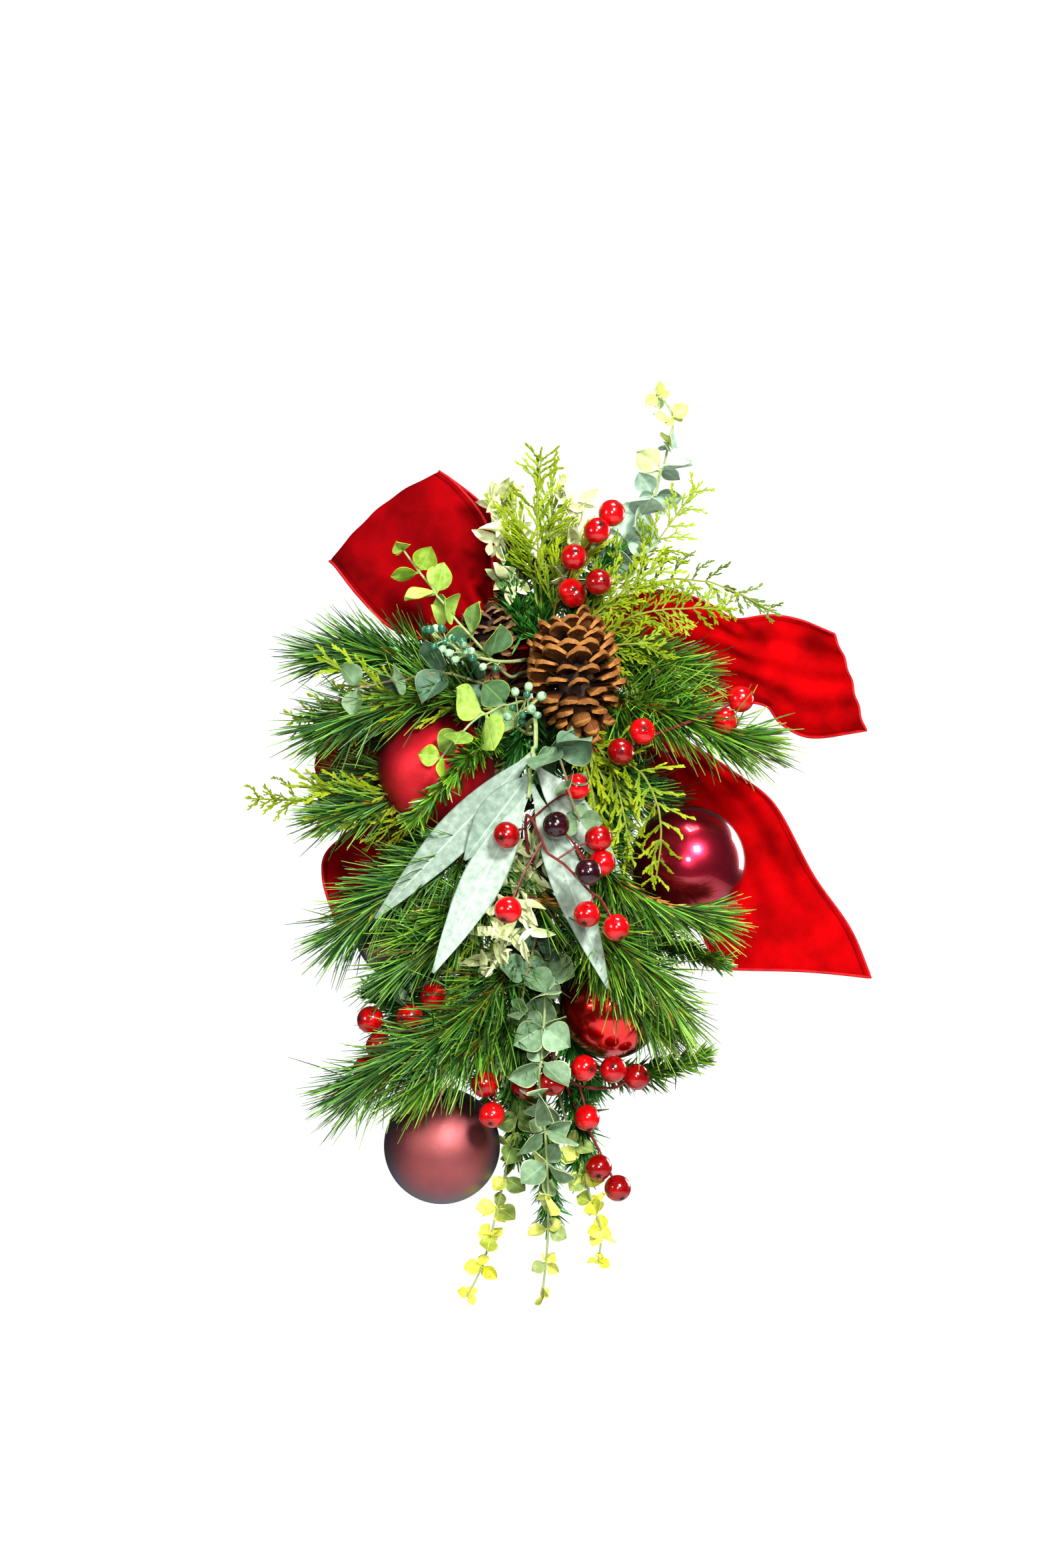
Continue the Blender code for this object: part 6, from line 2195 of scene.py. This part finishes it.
class Studio:
    """The plain pale floor, the soft lights and the camera."""

    FLOOR_HEIGHT = -1.1
    FLOOR_HALF = 1.9
    AIM = Vector((-0.02, -0.08, -0.12))
    LIGHTS = (
        ("key", (0.66, -2.0, 0.95), 0.4, 66.0),
        ("front", (0.0, -2.4, 0.2), 0.24, 17.0),
        ("left", (-1.5, -1.3, 0.2), 0.5, 9.0),
        ("top", (0.2, -0.4, 1.3), 0.5, 12.0),
        ("rim", (1.1, 0.9, 0.1), 0.8, 16.0),
    )

    def build(self) -> None:
        """Lays the floor, sets the lights and aims the camera."""
        self.floor()
        for light in self.LIGHTS:
            self.light(*light)
        self.world()
        self.camera()
        bpy.context.scene.view_settings.view_transform = "Standard"
        bpy.context.scene.view_settings.look = "Medium High Contrast"

    def put(self, name: str, data: bpy.types.ID) -> bpy.types.Object:
        """Puts a mesh, light or camera in the scene.

        Args:
            name: Its name.
            data: What it is.

        Returns:
            Its object.
        """
        holder = bpy.data.objects.new(name, data)
        bpy.context.collection.objects.link(holder)
        return holder

    def floor(self) -> bpy.types.Object:
        """Lays the pale floor.

        Returns:
            The floor.
        """
        work, mesh = bmesh.new(), bpy.data.meshes.new("floor")
        bmesh.ops.create_grid(work, x_segments=1, y_segments=1, size=self.FLOOR_HALF)
        bmesh.ops.translate(work, verts=work.verts, vec=(0, -0.1, self.FLOOR_HEIGHT))
        work.to_mesh(mesh)
        work.free()
        recipe = Recipe("pale floor")
        recipe.finish(recipe.mixed(recipe.noise(60.0), (0.8, 0.8, 0.79), (0.84, 0.84, 0.83)), 0.9)
        mesh.materials.append(recipe.material)
        return self.put("floor", mesh)

    def light(self, name: str, place: Triple, size: float, power: float) -> None:
        """Sets a square soft light, aimed at the swag's middle.

        Args:
            name: Its name.
            place: Where it stands, in metres.
            size: The length of its side, in metres.
            power: Its power in watts.
        """
        lamp = bpy.data.lights.new(name, "AREA")
        lamp.size = size
        lamp.energy = power
        holder = self.put(name, lamp)
        holder.location = place
        holder.rotation_euler = (self.AIM - Vector(place)).to_track_quat("-Z", "Y").to_euler()

    def world(self) -> None:
        """Lays white behind the swag, and a dimmer soft surround to light it."""
        world = bpy.data.worlds.new("studio")
        bpy.context.scene.world = world
        tree = Tree(world)
        seen = tree.node("ShaderNodeBackground", {}, {0: (1.0, 1.0, 1.0)})
        lit = tree.node("ShaderNodeBackground", {}, {0: (0.9, 0.95, 1.0), 1: 0.07})
        looked_at = tree.node("ShaderNodeLightPath").outputs["Is Camera Ray"]
        mix = tree.node("ShaderNodeMixShader", {}, {0: looked_at, 1: lit.outputs[0], 2: seen.outputs[0]})
        tree.node("ShaderNodeOutputWorld", {}, {0: mix.outputs[0]})

    def camera(self) -> None:
        """Sets the camera, square on to the swag as in the photograph."""
        lens = bpy.data.cameras.new("camera")
        lens.lens = VIEW_LENS
        lens.sensor_width = VIEW_SENSOR
        lens.dof.use_dof = False
        holder = self.put("camera", lens)
        holder.location = VIEW_POINT
        holder.rotation_euler = (math.radians(90.0), 0.0, 0.0)
        bpy.context.scene.camera = holder


def nodes_of(kind: str) -> list[str]:
    """The frame's nodes whose names start so, by name."""
    return sorted(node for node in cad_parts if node.startswith(kind))


# The eucalyptus sprigs' finishes, and how many leaves each of the frame's leaves gets beside it.
SPRIGS = {
    "eucalyptus_over_loop": (Paints.EUCALYPTUS_FRESH, 0),
    "eucalyptus_over_bauble": (Paints.EUCALYPTUS_FRESH, 0),
    "eucalyptus_top": (Paints.EUCALYPTUS_PALE, 1),
    "eucalyptus_long": (Paints.EUCALYPTUS_LONG, 1),
    "eucalyptus_foot_right": (Paints.EUCALYPTUS_YELLOW, 2),
    "eucalyptus_foot_left": (Paints.EUCALYPTUS_YELLOW, 2),
    "eucalyptus_centre": (Paints.EUCALYPTUS, 1),
    "eucalyptus_small_centre": (Paints.EUCALYPTUS, 1),
}
# The cedar fronds' finishes and kinds, where they aren't bright lace.
FRONDS = {
    "cedar_right": (Paints.CEDAR_BRIGHT, FERN),
    "cedar_top": (Paints.CEDAR_BRIGHT, CORDS),
    "cedar_far_right": (Paints.CEDAR_SHADED, LACE),
    "cedar_hanging": (Paints.CEDAR_OLIVE, BEADS),
    "cedar_small": (Paints.CEDAR_OLIVE, BEADS),
}

# What fills in: places are x, z and depth in millimetres on the measuring plane.
BRIGHT, OLIVE, SHADED = Paints.CEDAR_BRIGHT, Paints.CEDAR_OLIVE, Paints.CEDAR_SHADED
INNER_FRONDS = (
    ("top_left", BRIGHT, CORDS, 42, 5, ((-10, 0, 56), (-18, 50, 66), (-34, 92, 66))),
    ("top_back", BRIGHT, CORDS, 42, 5, ((-4, 0, 52), (-2, 50, 60), (-4, 108, 56))),
    ("top_low", OLIVE, CORDS, 42, 5, ((-4, 0, 56), (4, 40, 74), (22, 62, 84))),
    ("right_high", BRIGHT, LACE, 40, 6, ((2, -6, 60), (36, 26, 78), (72, 52, 78))),
    ("right_low", BRIGHT, FERN, 34, 5, ((2, -20, 60), (36, -4, 84), (66, -2, 88))),
    ("right_deep", SHADED, LACE, 34, 5, ((2, -30, 56), (34, -18, 66), (58, -34, 70))),
    ("centre_one", OLIVE, BEADS, 34, 7, ((4, -56, 60), (22, -90, 100), (30, -152, 112))),
    ("centre_two", OLIVE, BEADS, 34, 7, ((4, -50, 60), (36, -84, 100), (52, -146, 112))),
    ("centre_three", OLIVE, BEADS, 30, 6, ((4, -50, 60), (20, -70, 96), (40, -112, 104))),
    ("left_one", BRIGHT, BEADS, 36, 7, ((-22, -48, 60), (-100, -42, 106), (-158, -14, 100))),
    ("left_two", OLIVE, BEADS, 38, 8, ((-22, -80, 56), (-110, -104, 84), (-176, -100, 90))),
    ("left_four", OLIVE, CORDS, 36, 6, ((-22, -84, 56), (-100, -122, 80), (-164, -122, 88))),
    ("left_three", OLIVE, CORDS, 30, 5, ((-18, -150, 70), (-44, -190, 104), (-66, -240, 112))),
)
DEEP, FRESH, PLAIN, FIR_FRESH = Paints.PINE_DEEP, Paints.PINE_FRESH, Paints.FIR, Paints.FIR_FRESH
INNER_BRANCHES = (
    ("pine_back_left", DEEP, 50, ((-18, -46, 44), (-66, -44, 36), (-118, -58, 34))),
    ("pine_cover_left", FRESH, 46, ((-18, -160, 60), (-52, -176, 98), (-92, -200, 106))),
    ("pine_front_low", FRESH, 50, ((-16, -250, 56), (-54, -272, 106), (-88, -300, 114))),
    ("fir_left_gap", PLAIN, 26, ((-18, -208, 50), (-58, -228, 62), (-98, -236, 66))),
    ("fir_left_high", PLAIN, 26, ((-18, -96, 50), (-50, -128, 56), (-96, -140, 50))),
    ("pine_low_left", DEEP, 44, ((-18, -214, 50), (-56, -228, 50), (-100, -256, 52))),
    ("pine_right_back", FRESH, 44, ((2, -20, 46), (40, -10, 54), (84, -20, 56))),
    ("pine_right_mid", DEEP, 42, ((2, -120, 46), (34, -150, 56), (64, -196, 56))),
    ("pine_cover_right", FRESH, 44, ((2, -176, 60), (26, -200, 104), (44, -228, 110))),
    ("fir_centre_left", PLAIN, 26, ((-14, -70, 48), (-32, -106, 60), (-40, -150, 62))),
    ("fir_centre_right", PLAIN, 26, ((0, -60, 48), (26, -92, 60), (42, -130, 58))),
    ("fir_centre_low", PLAIN, 26, ((-8, -180, 46), (-10, -220, 62), (-4, -262, 66))),
    ("fir_centre_back", PLAIN, 26, ((0, -140, 46), (26, -176, 52), (30, -214, 48))),
    ("fir_top_left", PLAIN, 24, ((-12, -16, 46), (-26, 20, 56), (-30, 50, 60))),
    ("fir_top_right", PLAIN, 24, ((-2, -4, 46), (20, 30, 56), (36, 56, 58))),
    ("fir_top", PLAIN, 22, ((-6, 0, 46), (-2, 34, 52), (2, 62, 54))),
    ("pine_left_cover", DEEP, 44, ((-18, -56, 46), (-84, -80, 60), (-136, -94, 62))),
    ("pine_left_under", DEEP, 44, ((-18, -110, 46), (-84, -146, 60), (-128, -176, 62))),
    ("pine_column", DEEP, 40, ((-16, -190, 50), (-22, -230, 84), (-30, -272, 92))),
    ("fir_column", PLAIN, 26, ((-14, -230, 50), (-20, -262, 76), (-28, -300, 80))),
    ("fir_under_cream", PLAIN, 26, ((-12, -120, 50), (-30, -160, 80), (-36, -204, 84))),
    ("pine_gloss_right", FRESH, 44, ((2, -190, 50), (34, -224, 92), (66, -262, 96))),
    ("pine_heart_low", DEEP, 40, ((-12, -140, 46), (-18, -180, 70), (-22, -214, 74))),
    ("fir_low_right", PLAIN, 26, ((-6, -240, 46), (8, -268, 58), (22, -300, 60))),
    ("fir_low_left", PLAIN, 26, ((-14, -250, 46), (-30, -276, 58), (-46, -300, 60))),
    ("fir_left_low", PLAIN, 26, ((-18, -84, 46), (-80, -102, 42), (-136, -112, 46))),
    ("fir_cone_right", FIR_FRESH, 24, ((0, -10, 44), (24, -34, 56), (42, -62, 56))),
    ("fir_cone_left", PLAIN, 24, ((-4, -16, 44), (-10, 8, 52), (-8, 36, 54))),
    ("pine_left_red", DEEP, 42, ((-18, -84, 50), (-96, -104, 78), (-150, -118, 84))),
    ("pine_over_ball", DEEP, 44, ((-18, -150, 60), (-62, -192, 108), (-108, -226, 108))),
    ("fir_gap_low", PLAIN, 26, ((-6, -176, 44), (6, -210, 52), (12, -244, 54))),
    ("fir_cone_back", PLAIN, 26, ((-2, -16, 38), (6, -42, 42), (10, -72, 44))),
    ("fir_heart_middle", PLAIN, 26, ((-8, -50, 44), (-8, -80, 64), (-8, -114, 66))),
    ("fir_heart_left", PLAIN, 26, ((-10, -36, 44), (-22, -62, 62), (-34, -86, 60))),
    ("fir_heart_right", PLAIN, 26, ((-6, -40, 44), (8, -66, 62), (18, -92, 60))),
    ("fir_right_gap", PLAIN, 26, ((0, -56, 46), (34, -78, 52), (62, -96, 46))),
    ("pine_right_gap", DEEP, 40, ((0, -70, 46), (34, -98, 50), (66, -112, 44))),
    ("fir_right_low", PLAIN, 26, ((0, -84, 46), (30, -112, 56), (50, -140, 52))),
    ("fir_foot_left", PLAIN, 24, ((-12, -280, 44), (-24, -310, 56), (-28, -344, 60))),
    ("fir_foot_right", PLAIN, 24, ((-4, -286, 44), (14, -320, 56), (18, -358, 58))),
)


class Swag:
    """Every sub-assembly of the swag."""

    def hard_parts(self) -> list[Spine | Bow | Piece]:
        """The spine and bow, then the baubles, cones and long leaves.

        Returns:
            The parts.
        """
        return [
            Spine(),
            Bow(),
            Bauble("bauble_red_satin", Paints.BAUBLE_SATIN),
            Bauble("bauble_burgundy_right", Paints.BAUBLE_BURGUNDY),
            Bauble("bauble_mauve", Paints.BAUBLE_MAUVE),
            Bauble("bauble_burgundy_left", Paints.BAUBLE_WINE),
            Bauble("bauble_red_gloss", Paints.BAUBLE_GLOSS, 35.0),
            PineCone("cone_front", Paints.CONE, 110, 0.78),
            PineCone("cone_back", Paints.CONE_DARK, 60, 0.85),
            WillowStem(),
        ]

    def berries(self) -> list[BerryStem]:
        """The berry stems, those that show between them, and the seeds.

        Returns:
            The stems.
        """
        names = ("front", "dark", "top", "right", "left", "low", "foot")
        return [
            *(BerryStem(f"berries_{n}", Paints.BERRY_DARK if n == "dark" else Paints.BERRY) for n in names),
            InnerBerries(
                "inner_berries_low", Paints.BERRY,
                line=((-14, -262, 60), (-34, -290, 98), (-44, -312, 104)),
                spots=((-49, -303, 112), (-44, -324, 116)),
            ),
            InnerBerries(
                "inner_berries_top", Paints.BERRY_DARK,
                line=((-10, 0, 50), (-18, 30, 54), (-22, 50, 54)),
                spots=((-27, 62, 58), (-21, 50, 60)),
            ),
            *(
                BerryStem(node, Paints.SEED, 3.1, Paints.GREEN_STALK, 0.5, 1, 14, 1.28)
                for node in ("seeds_upper", "seeds_lower")
            ),
        ]

    def sprigs(self) -> list[LeafSprig]:
        """The eucalyptus sprigs, then the cream-tipped sprays.

        Returns:
            The sprigs.
        """
        found = []
        for node in nodes_of("eucalyptus_"):
            finish, extra = SPRIGS.get(node, (Paints.EUCALYPTUS, 0))
            found.append(LeafSprig(
                node, finish, Paints.ROSY_STALK if finish is Paints.EUCALYPTUS else Paints.GREEN_STALK,
                size=1.0 if "foot" in node else 1.28, twist=0.85 if node == "eucalyptus_long" else 0.5,
                extra=extra, pieces=(6, 11),
            ))
        for node in nodes_of("cream_spray_"):
            slender, scatter, extra = (0.56, 6.5, 5) if "centre" in node else (0.7, 3.5, 6)
            found.append(LeafSprig(
                node, Paints.CREAM, Paints.GREEN_STALK, OVAL_OUTLINE, size=1.75, slender=slender, curl=0.35,
                scatter=scatter, thickness=0.3, cup=0.7, extra=extra, radii=(1.2, 0.7), pieces=(4, 6),
            ))
        return found

    def cedar(self) -> list[CedarFrond]:
        """The frame's cedar fronds, then those that fill in between them.

        Returns:
            The fronds.
        """
        return [
            *(CedarFrond(node, *FRONDS.get(node, (BRIGHT, LACE))) for node in nodes_of("cedar_")),
            *(
                InnerFrond(f"inner_cedar_{name}", finish, kind, line, reach, pairs)
                for name, finish, kind, reach, pairs, line in INNER_FRONDS
            ),
        ]

    def needles(self) -> list[NeedleBranch]:
        """The frame's pine and fir branches, then those that fill in between them.

        Returns:
            The branches.
        """
        found: list[NeedleBranch] = []
        for node in nodes_of("pine_"):
            found.append(NeedleBranch(node, PINE, Paints.PINE_DEEP if "left" in node else Paints.PINE_FRESH))
        for node in nodes_of("fir_"):
            hides = node == "fir_left"
            fresh = hides or "right" in node
            found.append(NeedleBranch(node, FIR, Paints.FIR_FRESH if fresh else Paints.FIR, hides))
        for name, finish, needle, line in INNER_BRANCHES:
            kind = PINE if name.startswith("pine") else FIR
            found.append(InnerBranch(f"inner_{name}", kind, finish, line=line, needle=needle))
        return found

    def build(self) -> None:
        """Builds every sub-assembly in order."""
        for part in (*self.hard_parts(), *self.berries(), *self.sprigs(), *self.cedar(), *self.needles()):
            part.build()


def main() -> None:
    """Builds the studio and the swag, piece by piece."""
    logging.basicConfig(level=logging.INFO, format="%(message)s")
    Studio().build()
    Swag().build()


if __name__ == "__main__":
    main()
